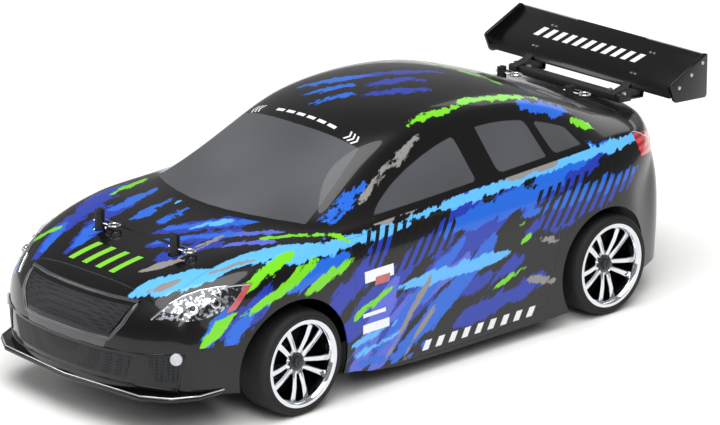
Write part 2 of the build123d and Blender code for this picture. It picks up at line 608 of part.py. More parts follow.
def make_wheel(axle_y):
    """Rim with five pairs of spokes and a hub that sits on the wheel hex."""
    inner_x = TYRE_OUTER_X - TYRE_WIDTH + 0.5
    outer_x = TYRE_OUTER_X - 0.5
    wheel = bar((inner_x, axle_y, AXLE_Z), (outer_x, axle_y, AXLE_Z), RIM_R)
    wheel -= bar((inner_x - 1, axle_y, AXLE_Z), (outer_x + 1, axle_y, AXLE_Z), RIM_R - 2.5)
    wheel += bar((80, axle_y, AXLE_Z), (85, axle_y, AXLE_Z), 8.5)
    spoke = plate_yz(((axle_y + 1.2, AXLE_Z - 5), (axle_y + 4.4, AXLE_Z - 5),
                      (axle_y + 8, AXLE_Z - RIM_R + 1.5), (axle_y + 4.4, AXLE_Z - RIM_R + 1.5)), 80.5, 86)
    pair = spoke + mirror(spoke, about=Plane.XZ.offset(-axle_y))
    axis = Axis((0, axle_y, AXLE_Z), (1, 0, 0))
    for i in range(5):
        wheel += pair.rotate(axis, 72 * i)
    return wheel - bar((70, axle_y, AXLE_Z), (95, axle_y, AXLE_Z), AXLE_R)


def make_tyre(axle_y):
    inner_x = TYRE_OUTER_X - TYRE_WIDTH
    tyre = bar((inner_x, axle_y, AXLE_Z), (TYRE_OUTER_X, axle_y, AXLE_Z), TYRE_R)
    tyre = fillet(tyre.edges().filter_by(GeomType.CIRCLE), 3)
    return tyre - bar((inner_x - 1, axle_y, AXLE_Z), (TYRE_OUTER_X + 1, axle_y, AXLE_Z), RIM_R)


def make_corner(axle_y, end):
    """Every piece of one left-hand corner, by name."""
    pieces = {
        "lower_arm": make_lower_arm(axle_y),
        "upper_link": make_upper_link(axle_y),
        "damper_body": make_damper_body(axle_y),
        "damper_rod": make_damper_rod(axle_y),
        "axle": make_axle(axle_y),
        "wheel": make_wheel(axle_y),
        "tyre": make_tyre(axle_y),
    }
    if end == "front":
        pieces["c_hub"] = make_c_hub(axle_y)
        pieces["knuckle"] = make_knuckle(axle_y)
    else:
        pieces["hub_carrier"] = make_rear_hub(axle_y)
    return pieces


def make_all():
    nodes = {
        "body_shell": make_body_shell(),
        "rear_wing": make_rear_wing(),
        "wing_stands": make_wing_stands(),
        "chassis_tub": make_chassis_tub(),
        "bumper_foam": make_bumper_foam(),
        "front_gearbox": make_gearbox(FRONT_AXLE_Y),
        "rear_gearbox": make_gearbox(REAR_AXLE_Y),
        "hinge_pins": make_hinge_pins(),
        "damper_towers": make_damper_towers(),
        "body_posts": make_body_posts(),
        "steering_servo": make_steering_servo(),
        "battery_pack": make_battery_pack(),
        "motor": make_motor(),
        "speed_controller": make_speed_controller(),
        "switch_slider": make_switch_slider(),
        "centre_shaft": make_centre_shaft(),
        "spur_gear": make_spur_gear(),
        "pinion_gear": make_pinion_gear(),
        "servo_horn": make_servo_horn(),
        "drag_link": make_drag_link(),
    }
    for end, (post_x, post_y), clip_z in (("front", FRONT_POST, FRONT_CLIP_Z), ("rear", REAR_POST, REAR_CLIP_Z)):
        nodes[f"clip_{end}_left"] = make_clip(post_x, post_y, clip_z)
        nodes[f"clip_{end}_right"] = make_clip(-post_x, post_y, clip_z)
    for side in ("left", "right"):
        nodes[f"tie_rod_{side}"] = mirrored(make_tie_rod(), side)
    for end, axle_y in (("front", FRONT_AXLE_Y), ("rear", REAR_AXLE_Y)):
        corner = make_corner(axle_y, end)
        for name, shape in corner.items():
            for side in ("left", "right"):
                nodes[f"{name}_{end}_{side}"] = mirrored(shape, side)
    return nodes


def main():
    os.makedirs("parts", exist_ok=True)
    for name, shape in make_all().items():
        export_step(shape, f"parts/{name}.step")


main()
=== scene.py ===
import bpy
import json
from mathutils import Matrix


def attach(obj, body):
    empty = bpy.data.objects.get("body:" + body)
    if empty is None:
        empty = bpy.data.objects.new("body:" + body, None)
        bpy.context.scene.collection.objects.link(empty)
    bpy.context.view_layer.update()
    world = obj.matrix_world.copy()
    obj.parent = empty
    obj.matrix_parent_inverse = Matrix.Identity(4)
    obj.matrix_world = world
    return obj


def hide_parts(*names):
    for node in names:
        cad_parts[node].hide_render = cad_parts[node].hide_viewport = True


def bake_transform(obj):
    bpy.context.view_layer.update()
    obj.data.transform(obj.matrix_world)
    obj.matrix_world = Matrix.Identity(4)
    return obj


bl_info = {
    "name": "Remote Control Touring Car",
    "version": (1, 0, 0),
    "blender": (4, 5, 0),
    "location": "View3D > Sidebar > Touring Car",
    "description": "Builds the painted shell, wing, wheels and running gear of a 1:10 touring car",
    "category": "Object",
}

import json
import math

import bmesh
import bpy
from mathutils import Matrix, Vector
from mathutils.bvhtree import BVHTree

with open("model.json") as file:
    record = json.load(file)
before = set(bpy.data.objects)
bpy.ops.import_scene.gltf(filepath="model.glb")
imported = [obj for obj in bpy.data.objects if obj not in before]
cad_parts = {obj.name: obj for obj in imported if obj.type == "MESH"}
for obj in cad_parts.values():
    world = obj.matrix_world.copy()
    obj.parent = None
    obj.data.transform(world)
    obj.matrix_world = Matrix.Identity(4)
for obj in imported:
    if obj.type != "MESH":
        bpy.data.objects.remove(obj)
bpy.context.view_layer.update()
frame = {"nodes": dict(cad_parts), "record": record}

MM = 0.001
SIDES = (("left", 1), ("right", -1))
CORNERS = tuple((end, side) for end in ("front", "rear") for side in ("left", "right"))

# ---- body shell: design table in millimetres --------------------------------
# Each lid station is y, sweep, then (x, z) of seven rails: centre, inner, roof rail, window top,
# window foot, belt and shoulder. Sweep moves the outer rails along y to round the nose and tail.
LID = (
    (-222, 22, (0, 76), (22, 76), (41, 75), (51, 74), (60, 73), (67, 72), (74, 70)),
    (-213, 20, (0, 82), (24, 82.5), (44, 82.5), (54, 82), (63, 81), (71, 80), (79, 77)),
    (-197, 17, (0, 89), (27, 89.5), (48, 90.5), (58, 90.5), (67, 89.5), (75.5, 88), (84.5, 83)),
    (-172, 12, (0, 95), (30, 96), (52, 97), (62, 97), (72, 96), (80, 94), (89, 87)),
    (-147, 8, (0, 99.5), (31, 100), (55, 100.5), (64, 100.5), (74, 100), (82, 98), (91.5, 90)),
    (-129, 10, (0, 102.5), (31, 102.5), (58, 102), (66, 101.8), (75, 101), (82.5, 99.5), (92, 91)),
    (-117, 24, (0, 105.5), (31, 105), (62, 102.7), (67.5, 102), (77, 101.2), (82.5, 100), (91.5, 91)),
    (-99, 17, (0, 114.5), (31, 113), (63, 108), (67.5, 105.5), (78.5, 102), (82.5, 100.5), (91, 91)),
    (-72, 10, (0, 129), (30, 127.5), (58.5, 119.5), (63.5, 114.5), (79.5, 102.5), (82.5, 101), (90.5, 91)),
    (-44, 8, (0, 143.5), (28, 142), (53, 134.5), (61, 127), (80, 104), (82.5, 102), (90.5, 91)),
    (-16, 4, (0, 151), (28, 150), (55.5, 144), (63, 134.5), (80.5, 105), (83, 103), (90.5, 91)),
    (20, 0, (0, 153.7), (28, 152.8), (57, 148), (64, 137.5), (80.5, 106), (83, 104), (90.5, 91)),
    (55, 0, (0, 153), (28, 152), (57.5, 147.5), (64.5, 137.5), (80.5, 107.5), (83, 105.5), (90.5, 91.5)),
    (88, 0, (0, 148.5), (28, 147.5), (57, 143.8), (64.5, 134.5), (80.5, 109.5), (83, 107), (91, 92.5)),
    (114, 0, (0, 140.5), (28, 139.5), (56.5, 136), (65, 128.5), (80, 110.5), (83, 108), (92, 93.5)),
    (136, -2, (0, 132), (28, 131), (56.5, 128.3), (65.5, 122), (79.5, 111), (82.5, 109), (92.5, 94)),
    (157, -4, (0, 123), (28, 122), (57, 119.3), (66, 116), (78.5, 111), (82, 108.5), (91.5, 94)),
    (175, -7, (0, 116.8), (28, 116.4), (57, 114.8), (67, 113), (77, 110), (81, 107), (89.5, 93)),
    (195, -16, (0, 114), (26, 113.8), (53, 112.5), (62, 111), (71.5, 108), (76.5, 104.5), (84.5, 92)),
    (211, -27, (0, 112.5), (23, 112), (44, 110.7), (53, 109), (62, 105.5), (69, 100.5), (77.5, 91)),
)
# Height of the skirt's lower edge at each station
SKIRT = (26, 25, 23, 21, 20, 19, 17, 14, 11, 9.5, 9, 9, 9, 9, 11, 15, 18, 19, 20, 21)
# Rows below the shoulder: share of the drop to the skirt, swell over the doors, swell over the arches
ROWS = ((0.22, 2.0, 2.2), (0.46, 2.4, 3.2), (0.74, 2.2, 3.2), (1.0, 1.4, 2.6))
# The same rows round the nose and the tail: y at the centre, z, half width
NOSE = ((-227.5, 68, 77), (-230.8, 57, 80.5), (-230.5, 42, 81.5), (-228.5, 27, 80))
TAIL = ((212.5, 90, 79), (217.5, 77, 81.5), (219, 50, 82.5), (217, 21, 80.5))
NOSE_ROUNDING = (27, 2.8)
TAIL_ROUNDING = (-29, 2.8)
HALF_RAILS = 6
ARCHES = ((-131.0, 40.0), (129.0, 38.5))
AXLE_Z = 32.0
ARCH_REACH = 60.0
SHELL_THICKNESS = 1.0
NOSE_STATIONS = 3
NOSE_HALF_WIDTH = 88.5
TAIL_HALF_WIDTH = 91.0
# How far outside the skin a line starts when it is sent inward to find a place on it
PROBE_START = 150.0


# ---- livery: brush sweeps laid on the skin, in millimetres and degrees --------
# zone, root, heading, length, width, strokes, fan between strokes, gap between their roots.
# Side sweeps are (y, z) and are mirrored; top sweeps are (x, y).
SWEEPS = {
    "royal": (
        ("side", (-85, 20), 30, 105, 20, 3, 0, 22), ("side", (-20, 60), 25, 85, 18, 2, 5, 15),
        ("side", (60, 70), 10, 100, 16, 2, 5, 14), ("side", (-180, 60), 35, 40, 13, 1, 0, 0),
        ("side", (0, 25), 10, 75, 12, 2, 0, 18), ("top", (-50, -205), 105, 90, 14, 2, 0, -20),
        ("top", (0, -160), 50, 65, 15, 3, 5, -18), ("top", (-20, 15), 65, 60, 10, 3, 0, -18),
    ),
    "violet": (
        ("side", (-85, 15), 55, 60, 16, 2, -10, -14), ("side", (-60, 40), 20, 75, 12, 1, 0, 0),
        ("top", (40, -140), 50, 35, 7, 2, 0, -14),
    ),
    "azure": (
        ("side", (-50, 15), 35, 100, 13, 2, 0, 18), ("side", (-10, 85), 5, 105, 12, 1, 0, 0),
        ("side", (60, 80), 5, 100, 9, 2, 5, 14), ("side", (-140, 80), 10, 55, 11, 1, 0, 0),
        ("side", (-185, 45), 50, 40, 7, 2, 0, 12), ("side", (-80, 30), -10, 55, 6, 2, 5, -10),
        ("side", (-100, 100), 20, 55, 6, 1, 0, 0), ("side", (85, 137), -15, 40, 8, 1, 0, 0),
        ("top", (-45, -155), 95, 40, 8, 3, 0, -20), ("top", (-30, -195), 110, 30, 8, 3, 0, 20),
        ("top", (0, -155), 45, 60, 8, 2, 0, -16), ("top", (-35, -10), 60, 45, 8, 3, 0, -16),
        ("top", (60, 85), 85, 40, 8, 1, 0, 0),
    ),
    "sky": (
        ("side", (-145, 95), 0, 115, 6, 1, 0, 0), ("side", (-40, 97), 3, 140, 5, 1, 0, 0),
        ("side", (95, 105), 0, 75, 6, 1, 0, 0), ("side", (-50, 60), 0, 95, 8, 1, 0, 0),
        ("side", (-85, 25), 10, 45, 4, 2, 0, 8), ("top", (40, -210), 50, 50, 14, 1, 0, 0),
        ("top", (65, -185), 75, 90, 10, 1, 0, 0), ("top", (15, -145), 60, 30, 5, 2, 0, 40),
    ),
    "silver": (
        ("side", (-60, 100), 5, 80, 4, 2, 20, 10), ("side", (40, 105), 0, 55, 4, 1, 0, 0),
        ("side", (-60, 15), 50, 60, 4, 2, 0, -14), ("side", (60, 40), -15, 25, 4, 2, 0, 25),
        ("top", (30, -195), 55, 25, 6, 2, 0, -20), ("top", (40, -175), 90, 35, 3, 2, -20, -28),
    ),
    "lime": (
        ("side", (-195, 55), 35, 30, 5, 1, 0, 0), ("side", (-170, 70), 20, 65, 6, 2, 0, 12),
        ("side", (-125, 75), 15, 45, 5, 1, 0, 0), ("side", (-85, 50), 20, 32, 3, 1, 0, 0),
        ("side", (30, 40), 15, 35, 4, 1, 0, 0), ("side", (55, 65), 15, 10, 3, 2, 0, 10),
        ("side", (120, 123), -25, 18, 5, 1, 0, 0), ("side", (187, 58), 70, 18, 5, 1, 0, 0),
        ("top", (55, -5), 90, 45, 4, 1, 0, 0), ("top", (53, 40), 88, 65, 4, 1, 0, 0),
        ("top", (60, -130), 60, 55, 4, 1, 0, 0), ("top", (-65, -135), 100, 32, 5, 1, 0, 0),
        ("top", (-70, -195), 45, 17, 4, 1, 0, 0), ("top", (-30, 85), 8, 75, 3, 2, 5, 10),
        ("top", (-38, 60), 72, 26, 2, 1, 0, 0),
    ),
}
# Colour and how far the brush tears the edge of each layer, from the bottom up
LIVERY_LAYERS = (("royal", "#1c35a4", 30.0), ("violet", "#5463cf", 20.0), ("azure", "#1c62d0", 22.0),
                 ("sky", "#5cb2f2", 15.0), ("silver", "#8a8784", 12.0), ("lime", "#72d01c", 15.0))
# Side windows stand between a straight belt line and an arched roof line, parted by leaning pillars
BELT_FRONT = (-57.0, 103.5)
BELT_REAR = (121.0, 110.5)
ROOF_PEAK = (45.0, 134.5)
ROOF_FALL = 0.003
PILLAR_LEAN = 6.0
PANES = ((-55.0, 28.0), (47.0, 88.0), (95.0, 119.0))
SURROUND_WIDTH = 3.5


def side_window(front, rear, grow=0.0, steps=6):
    """Outline of one side window as (y, z), made larger all round by grow."""
    slope = (BELT_REAR[1] - BELT_FRONT[1]) / (BELT_REAR[0] - BELT_FRONT[0])
    foot = [(y, BELT_FRONT[1] + slope * (y - BELT_FRONT[0]) - grow) for y in (rear, front)]
    top = []
    for i in range(steps + 1):
        y = front + (rear - front) * i / steps
        top.append((y - PILLAR_LEAN, ROOF_PEAK[1] - ROOF_FALL * (y - PILLAR_LEAN - ROOF_PEAK[0]) ** 2 + grow))
    return tuple(top + foot)


def screen(foot, head, steps=4):
    """Half outline of a bowed screen as (|x|, y); each edge is y at the centre, half width and bow."""
    edges = []
    for y, half, bow in (foot, head):
        edges.append([(half * i / steps, y + bow * (i / steps) ** 2) for i in range(steps + 1)])
    return ((-1, foot[0]),) + tuple(edges[0] + edges[1][::-1]) + ((-1, head[0]),)


SIDE_WINDOWS = tuple(("side", side_window(front, rear)) for front, rear in PANES)
PANELS = {
    "hatch": (
        ("side", ((-72, 98), (2, 97), (2, 76), (-72, 66))),
        ("side", ((70, 92), (160, 100), (160, 74), (70, 66))),
    ),
    "lower_black": (
        ("side", ((-240, 47), (-205, 47), (-196, 36), (-176, 34), (-176, 0), (-240, 0))),
        ("side", ((-84, 13), (92, 13), (92, -5), (-84, -5))),
        ("side", ((168, 94), (176, 84), (168, 60), (168, 0), (240, 0), (240, 94))),
        ("front", ((-90, 59), (-58, 61), (-48, 78), (50, 78), (60, 64), (72, 58), (90, 52), (90, 0), (-90, 0))),
    ),
    "surround": (
        ("side", side_window(-68, 125, SURROUND_WIDTH)),
        ("glass", screen((-122, 69, 20), (-30, 56, 6))),
    ),
    "glass": SIDE_WINDOWS + (
        ("glass", screen((-117, 65, 19), (-46, 50, 6))),
        ("glass", screen((112, 50, -6), (160, 55, -8))),
    ),
    "seams": (
        ("side", ((-84, 96), (-84, 12), (30, 12), (30, 96))),
        ("side", ((31, 96), (31, 12), (76, 20), (88, 60), (90, 96))),
        ("top", ((-62, -208), (62, -208), (70, -122), (-70, -122))),
        ("top", ((-55, 176), (55, 176), (60, 215), (-60, 215))),
    ),
}
PANEL_LAYERS = (("lower_black", "#030304"), ("surround", "#030304"))
POSTS = {"front": (33.4, -172.0), "rear": (30.0, 161.0)}
POST_HOLE_R = 4.2


# ---- small helpers ----------------------------------------------------------

def linear(hex_colour):
    """sRGB hex to linear colour with alpha."""
    channels = [int(hex_colour[i:i + 2], 16) / 255 for i in (1, 3, 5)]
    return [c / 12.92 if c <= 0.04045 else ((c + 0.055) / 1.055) ** 2.4 for c in channels] + [1.0]


def add_node(tree, kind, inputs=None, **settings):
    """Add a node with its settings, and its inputs as values or links."""
    made = tree.nodes.new(kind)
    for name, value in settings.items():
        setattr(made, name, value)
    for key, value in (inputs or {}).items():
        if isinstance(value, bpy.types.NodeSocket):
            tree.links.new(value, made.inputs[key])
        else:
            made.inputs[key].default_value = value
    return made


def new_material(name, hex_colour, roughness, metallic=0.0, **principled):
    """Material with one Principled shader. Returns the material, its tree and the shader."""
    material = bpy.data.materials.new(name)
    material.use_nodes = True
    tree = material.node_tree
    shader = tree.nodes["Principled BSDF"]
    shader.inputs["Base Color"].default_value = linear(hex_colour)
    shader.inputs["Roughness"].default_value = roughness
    shader.inputs["Metallic"].default_value = metallic
    for key, value in principled.items():
        shader.inputs[key.replace("_", " ")].default_value = value
    return material, tree, shader


def grain(tree, shader, size_mm, colour_low, colour_high, bump=0.0, rough=None, stretch=(1, 1, 1)):
    """Colour, roughness and bump variation from one noise whose grain is size_mm across."""
    place = add_node(tree, "ShaderNodeTexCoord")
    turned = add_node(tree, "ShaderNodeMapping", {"Vector": place.outputs["Object"], "Scale": stretch})
    noise = add_node(tree, "ShaderNodeTexNoise", {"Vector": turned.outputs["Vector"], "Scale": 1000 / size_mm,
                                                  "Detail": 4.0, "Roughness": 0.6})
    mix = add_node(tree, "ShaderNodeMix", {"Factor": noise.outputs["Fac"], "A": linear(colour_low),
                                           "B": linear(colour_high)}, data_type="RGBA")
    tree.links.new(mix.outputs["Result"], shader.inputs["Base Color"])
    if rough:
        spread = add_node(tree, "ShaderNodeMapRange", {"Value": noise.outputs["Fac"], "To Min": rough[0],
                                                       "To Max": rough[1]})
        tree.links.new(spread.outputs["Result"], shader.inputs["Roughness"])
    if bump:
        raised = add_node(tree, "ShaderNodeBump", {"Height": noise.outputs["Fac"], "Strength": 0.4,
                                                   "Distance": bump * MM})
        tree.links.new(raised.outputs["Normal"], shader.inputs["Normal"])
    return noise


def finished(name, bm, material, body, smooth_deg=35, normals=True):
    """Turn a bmesh in millimetres into an object in metres that rides a body."""
    if normals:
        bmesh.ops.recalc_face_normals(bm, faces=bm.faces)
    bmesh.ops.scale(bm, vec=(MM, MM, MM), verts=bm.verts)
    mesh = bpy.data.meshes.new(name)
    bm.to_mesh(mesh)
    bm.free()
    mesh.materials.append(bpy.data.materials[material])
    mesh.shade_smooth()
    mesh.set_sharp_from_angle(angle=math.radians(smooth_deg))
    piece = bpy.data.objects.new(name, mesh)
    bpy.context.scene.collection.objects.link(piece)
    if body:
        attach(piece, body)
    return piece


def bevel_all(bm, width, segments=2, min_deg=25):
    """Round every edge that is sharper than min_deg."""
    if width <= 0:
        return
    sharp = [e for e in bm.edges if len(e.link_faces) == 2 and e.calc_face_angle(0) > math.radians(min_deg)]
    bmesh.ops.bevel(bm, geom=sharp, offset=width, segments=segments, profile=0.5, affect="EDGES",
                    clamp_overlap=True, material=-1)


def add_prism(bm, outline, axis, low, high, bevel=0.0):
    """Closed prism along x, y or z. The outline holds the two other coordinates in xyz order."""
    def place(pair, along):
        values = list(pair)
        values.insert("xyz".index(axis), along)
        return values
    part = bmesh.new()
    face = part.faces.new([part.verts.new(place(p, low)) for p in outline])
    moved = bmesh.ops.extrude_face_region(part, geom=[face])["geom"]
    shift = Vector(place((0, 0), high - low))
    bmesh.ops.translate(part, vec=shift, verts=[v for v in moved if isinstance(v, bmesh.types.BMVert)])
    bmesh.ops.recalc_face_normals(part, faces=part.faces)
    bevel_all(part, bevel)
    merge(bm, part)


def merge(bm, part):
    """Move a finished part into bm."""
    mesh = bpy.data.meshes.new("part")
    part.to_mesh(mesh)
    part.free()
    bm.from_mesh(mesh)
    bpy.data.meshes.remove(mesh)


def add_rod(bm, start, end, radius, end_radius=None, segments=24, bevel=0.0):
    """Round rod between two points."""
    start, end = Vector(start), Vector(end)
    part = bmesh.new()
    bmesh.ops.create_cone(part, cap_ends=True, segments=segments, radius1=radius,
                          radius2=radius if end_radius is None else end_radius, depth=(end - start).length)
    bevel_all(part, bevel)
    turn = (end - start).to_track_quat("Z", "Y").to_matrix().to_4x4()
    part.transform(Matrix.Translation((start + end) / 2) @ turn)
    merge(bm, part)


def add_lathe(bm, profile, centre, steps=96, closed=False):
    """Spin a profile of (radius, x) pairs about the X axis through centre."""
    part = bmesh.new()
    verts = [part.verts.new((x, 0, r)) for r, x in profile]
    pairs = list(zip(verts, verts[1:] + verts[:1] if closed else verts[1:]))
    edges = [part.edges.new(pair) for pair in pairs]
    bmesh.ops.spin(part, geom=verts + edges, cent=(0, 0, 0), axis=(1, 0, 0), angle=math.tau, steps=steps,
                   use_merge=True)
    bmesh.ops.remove_doubles(part, verts=part.verts, dist=0.001)
    bmesh.ops.recalc_face_normals(part, faces=part.faces)
    bmesh.ops.translate(part, vec=centre, verts=part.verts)
    merge(bm, part)


def tube(bm, points, radius, segments=10, closed=False):
    """Round wire through a list of points."""
    path = [Vector(p) for p in points]
    count = len(path)
    rings = []
    across = None
    for i, point in enumerate(path):
        ahead = path[(i + 1) % count] if closed or i + 1 < count else point
        behind = path[i - 1] if closed or i else point
        along = (ahead - behind).normalized()
        if across is None:
            across = along.orthogonal().normalized()
        across = (across - along * across.dot(along)).normalized()
        other = along.cross(across)
        ring = []
        for k in range(segments):
            a = math.tau * k / segments
            ring.append(bm.verts.new(point + radius * (across * math.cos(a) + other * math.sin(a))))
        rings.append(ring)
    pairs = list(zip(rings, rings[1:]))
    if closed:
        pairs.append((rings[-1], rings[0]))
    for one, two in pairs:
        for k in range(segments):
            n = (k + 1) % segments
            bm.faces.new((one[k], one[n], two[n], two[k]))
    if not closed:
        bm.faces.new(list(reversed(rings[0])))
        bm.faces.new(rings[-1])


def outline_gap(point, outline):
    """Signed distance from a 2-D point to a closed outline, negative inside."""
    px, py = point
    best = 1e9
    inside = False
    previous = outline[-1]
    for current in outline:
        ax, ay = previous
        bx, by = current
        dx, dy = bx - ax, by - ay
        t = max(0.0, min(1.0, ((px - ax) * dx + (py - ay) * dy) / (dx * dx + dy * dy)))
        best = min(best, math.hypot(px - ax - t * dx, py - ay - t * dy))
        if (ay > py) != (by > py) and px < (bx - ax) * (py - ay) / (by - ay) + ax:
            inside = not inside
        previous = current
    return -best if inside else best


# ---- body shell -------------------------------------------------------------

def rail_point(station, column):
    """Point of one lid station on one rail. Columns run from -6 to 6."""
    y, sweep, *points = LID[station]
    x, z = points[abs(column)]
    side = 1 if column > 0 else -1
    return Vector((side * x, y + sweep * (x / 80) ** 2.5, z))


def end_row(row, station, rounding):
    """Points of one nose or tail row, wrapped round the corner."""
    y, z, half_width = row
    sweep, power = rounding
    widest = LID[station][2 + HALF_RAILS][0]
    points = {}
    for column in range(-HALF_RAILS, HALF_RAILS + 1):
        x = abs(rail_point(station, column).x) * half_width / widest
        points[column] = Vector((math.copysign(x, column), y + sweep * (x / 80) ** power, z))
    return points


def body_cage():
    """Lid from a grid, walls from its boundary extruded down four times."""
    last = len(LID) - 1
    wide = HALF_RAILS
    bm = bmesh.new()
    bmesh.ops.create_grid(bm, x_segments=2 * wide, y_segments=last, size=1)
    ordered = sorted(bm.verts, key=lambda v: (round(v.co.y, 4), round(v.co.x, 4)))
    grid = {}
    for i, v in enumerate(ordered):
        station, column = divmod(i, 2 * wide + 1)
        grid[station, column - wide] = v
    for key, v in grid.items():
        v.co = rail_point(*key)
    keys = [(0, c) for c in range(-wide, wide + 1)]
    keys += [(s, wide) for s in range(1, last + 1)]
    keys += [(last, c) for c in range(wide - 1, -wide - 1, -1)]
    keys += [(s, -wide) for s in range(last - 1, 0, -1)]
    ring = [grid[k] for k in keys]
    for row in range(len(ROWS)):
        nose = end_row(NOSE[row], 0, NOSE_ROUNDING)
        tail = end_row(TAIL[row], last, TAIL_ROUNDING)
        edges = [bm.edges.get((a, b)) for a, b in zip(ring, ring[1:] + ring[:1])]
        made = bmesh.ops.extrude_edge_only(bm, edges=edges)["geom"]
        fresh = {v.co.to_tuple(4): v for v in made if isinstance(v, bmesh.types.BMVert)}
        ring = [fresh[v.co.to_tuple(4)] for v in ring]
        for (station, column), v in zip(keys, ring):
            if station == 0:
                v.co = nose[column]
            elif station == last:
                v.co = tail[column]
            else:
                v.co = wall_point(station, column, row, nose[wide].y, tail[wide].y)
    bmesh.ops.recalc_face_normals(bm, faces=bm.faces)
    return bm


def wall_point(station, column, row, nose_y, tail_y):
    """Side wall point of one row, blended into the nose and tail corners."""
    drop, plain, arch = ROWS[row]
    last = len(LID) - 1
    top = rail_point(station, column)
    y = top.y
    z = top.z + (SKIRT[station] - top.z) * drop
    near = min(abs(y - centre) for centre, _ in ARCHES)
    swell = plain + (arch - plain) * max(0, 1 - near / ARCH_REACH)
    x = abs(top.x) + swell
    if station < NOSE_STATIONS:
        share = station / NOSE_STATIONS
        x = NOSE[row][2] * (1 - share) + (NOSE_HALF_WIDTH + swell) * share
        y = nose_y + (rail_point(NOSE_STATIONS, column).y - nose_y) * share ** 0.9
    if station > last - NOSE_STATIONS:
        share = (last - station) / NOSE_STATIONS
        x = TAIL[row][2] * (1 - share) + (TAIL_HALF_WIDTH + swell) * share
        y = tail_y + (rail_point(last - NOSE_STATIONS, column).y - tail_y) * share
    return Vector((math.copysign(x, column), y, z))


def crease(bm, pairs):
    """Sharpen cage edges. Each pair is a test of an edge's two ends and a crease strength."""
    layer = bm.edges.layers.float.get("crease_edge") or bm.edges.layers.float.new("crease_edge")
    for edge in bm.edges:
        for test, strength in pairs:
            if test(edge.verts[0].co) and test(edge.verts[1].co):
                edge[layer] = max(edge[layer], strength)


def applied(obj):
    """Mesh of an object with its modifiers applied."""
    graph = bpy.context.evaluated_depsgraph_get()
    return bpy.data.meshes.new_from_object(obj.evaluated_get(graph))


def temporary(name, bm):
    """Object for use by modifiers only."""
    mesh = bpy.data.meshes.new(name)
    bm.to_mesh(mesh)
    bm.free()
    obj = bpy.data.objects.new(name, mesh)
    bpy.context.scene.collection.objects.link(obj)
    return obj


def smooth_skin():
    """Subdivided outer skin in millimetres, before the arches are cut."""
    bm = body_cage()
    lines = ((lambda p: abs(abs(p.x) - 82.5) < 1.2 and p.z > 95, 0.35),
             (lambda p: p.z < 28 and abs(p.x) > 0, 0.55))
    crease(bm, lines)
    skin = temporary("skin", bm)
    levels = skin.modifiers.new("Smooth", "SUBSURF")
    levels.levels = levels.render_levels = 3
    bpy.context.view_layer.update()
    mesh = applied(skin)
    bpy.data.objects.remove(skin)
    return mesh


def arch_cutters():
    """Wheel arches and body post holes as one cutter."""
    bm = bmesh.new()
    for y, radius in ARCHES:
        for side in (-1, 1):
            add_rod(bm, (side * 52, y, AXLE_Z), (side * 120, y, AXLE_Z), radius, segments=96)
    for x, y in POSTS.values():
        for side in (-1, 1):
            add_rod(bm, (side * x, y, 60), (side * x, y, 160), POST_HOLE_R, segments=32)
    bmesh.ops.scale(bm, vec=(MM, MM, MM), verts=bm.verts)
    return temporary("cutters", bm)


def strokes_of(sweeps):
    """Tapered strokes of each sweep: they fan out from roots set side by side, and get shorter and thinner."""
    strokes = []
    for zone, root, heading, length, width, count, fan, gap in sweeps:
        across = math.radians(heading + 90)
        for i in range(count):
            angle = math.radians(heading + i * fan)
            start = (root[0] + math.cos(across) * gap * i, root[1] + math.sin(across) * gap * i)
            reach = length * (1 - 0.18 * i)
            end = (start[0] + math.cos(angle) * reach, start[1] + math.sin(angle) * reach)
            strokes.append((zone, start, end, width * (1 - 0.15 * i)))
    return strokes


def signed_field(points, normals, strokes, mirrored):
    """Distance in mm from each point to the nearest tapered stroke, negative inside it."""
    field = [60.0] * len(points)
    for zone, start, end, width in strokes:
        ax, ay = start
        dx, dy = end[0] - ax, end[1] - ay
        length_sq = dx * dx + dy * dy
        for i, p in enumerate(points):
            n = normals[i]
            if zone == "side":
                if not mirrored and p.x < 0:
                    continue
                u, v, facing = p.y, p.z, abs(n.x) - 0.45
            else:
                u, v, facing = p.x, p.y, n.z - 0.4
            off = max(0.0, -facing) * 40
            if off > 30:
                continue
            t = ((u - ax) * dx + (v - ay) * dy) / length_sq
            along = max(0.0, min(1.0, t))
            gap = math.hypot(u - ax - along * dx, v - ay - along * dy)
            half = width / 2 * (1 - 0.65 * abs(2 * along - 1) ** 3)
            gap = gap - half + off
            if gap < field[i]:
                field[i] = gap
    return field


def panel_field(points, normals, panels):
    """Signed distance to the nearest outline of a set, negative inside."""
    field = [60.0] * len(points)
    for zone, outline in panels:
        lows = [min(p[k] for p in outline) - 25 for k in (0, 1)]
        highs = [max(p[k] for p in outline) + 25 for k in (0, 1)]
        for i, p in enumerate(points):
            n = normals[i]
            if zone == "side":
                u, v, facing = p.y, p.z, abs(n.x) - 0.3
            elif zone == "front":
                u, v, facing = p.x, p.z, -n.y - 0.1
            elif zone == "glass":
                u, v, facing = abs(p.x), p.y, n.z - 0.35
            else:
                u, v, facing = p.x, p.y, n.z - 0.3
            if not (lows[0] < u < highs[0] and lows[1] < v < highs[1]):
                continue
            gap = outline_gap((u, v), outline) + max(0.0, -facing) * 60
            if gap < field[i]:
                field[i] = gap
    return field


def store(mesh, name, values):
    """Keep one value for each vertex as an attribute of the mesh."""
    layer = mesh.attributes.new(name, "FLOAT", "POINT")
    layer.data.foreach_set("value", values)


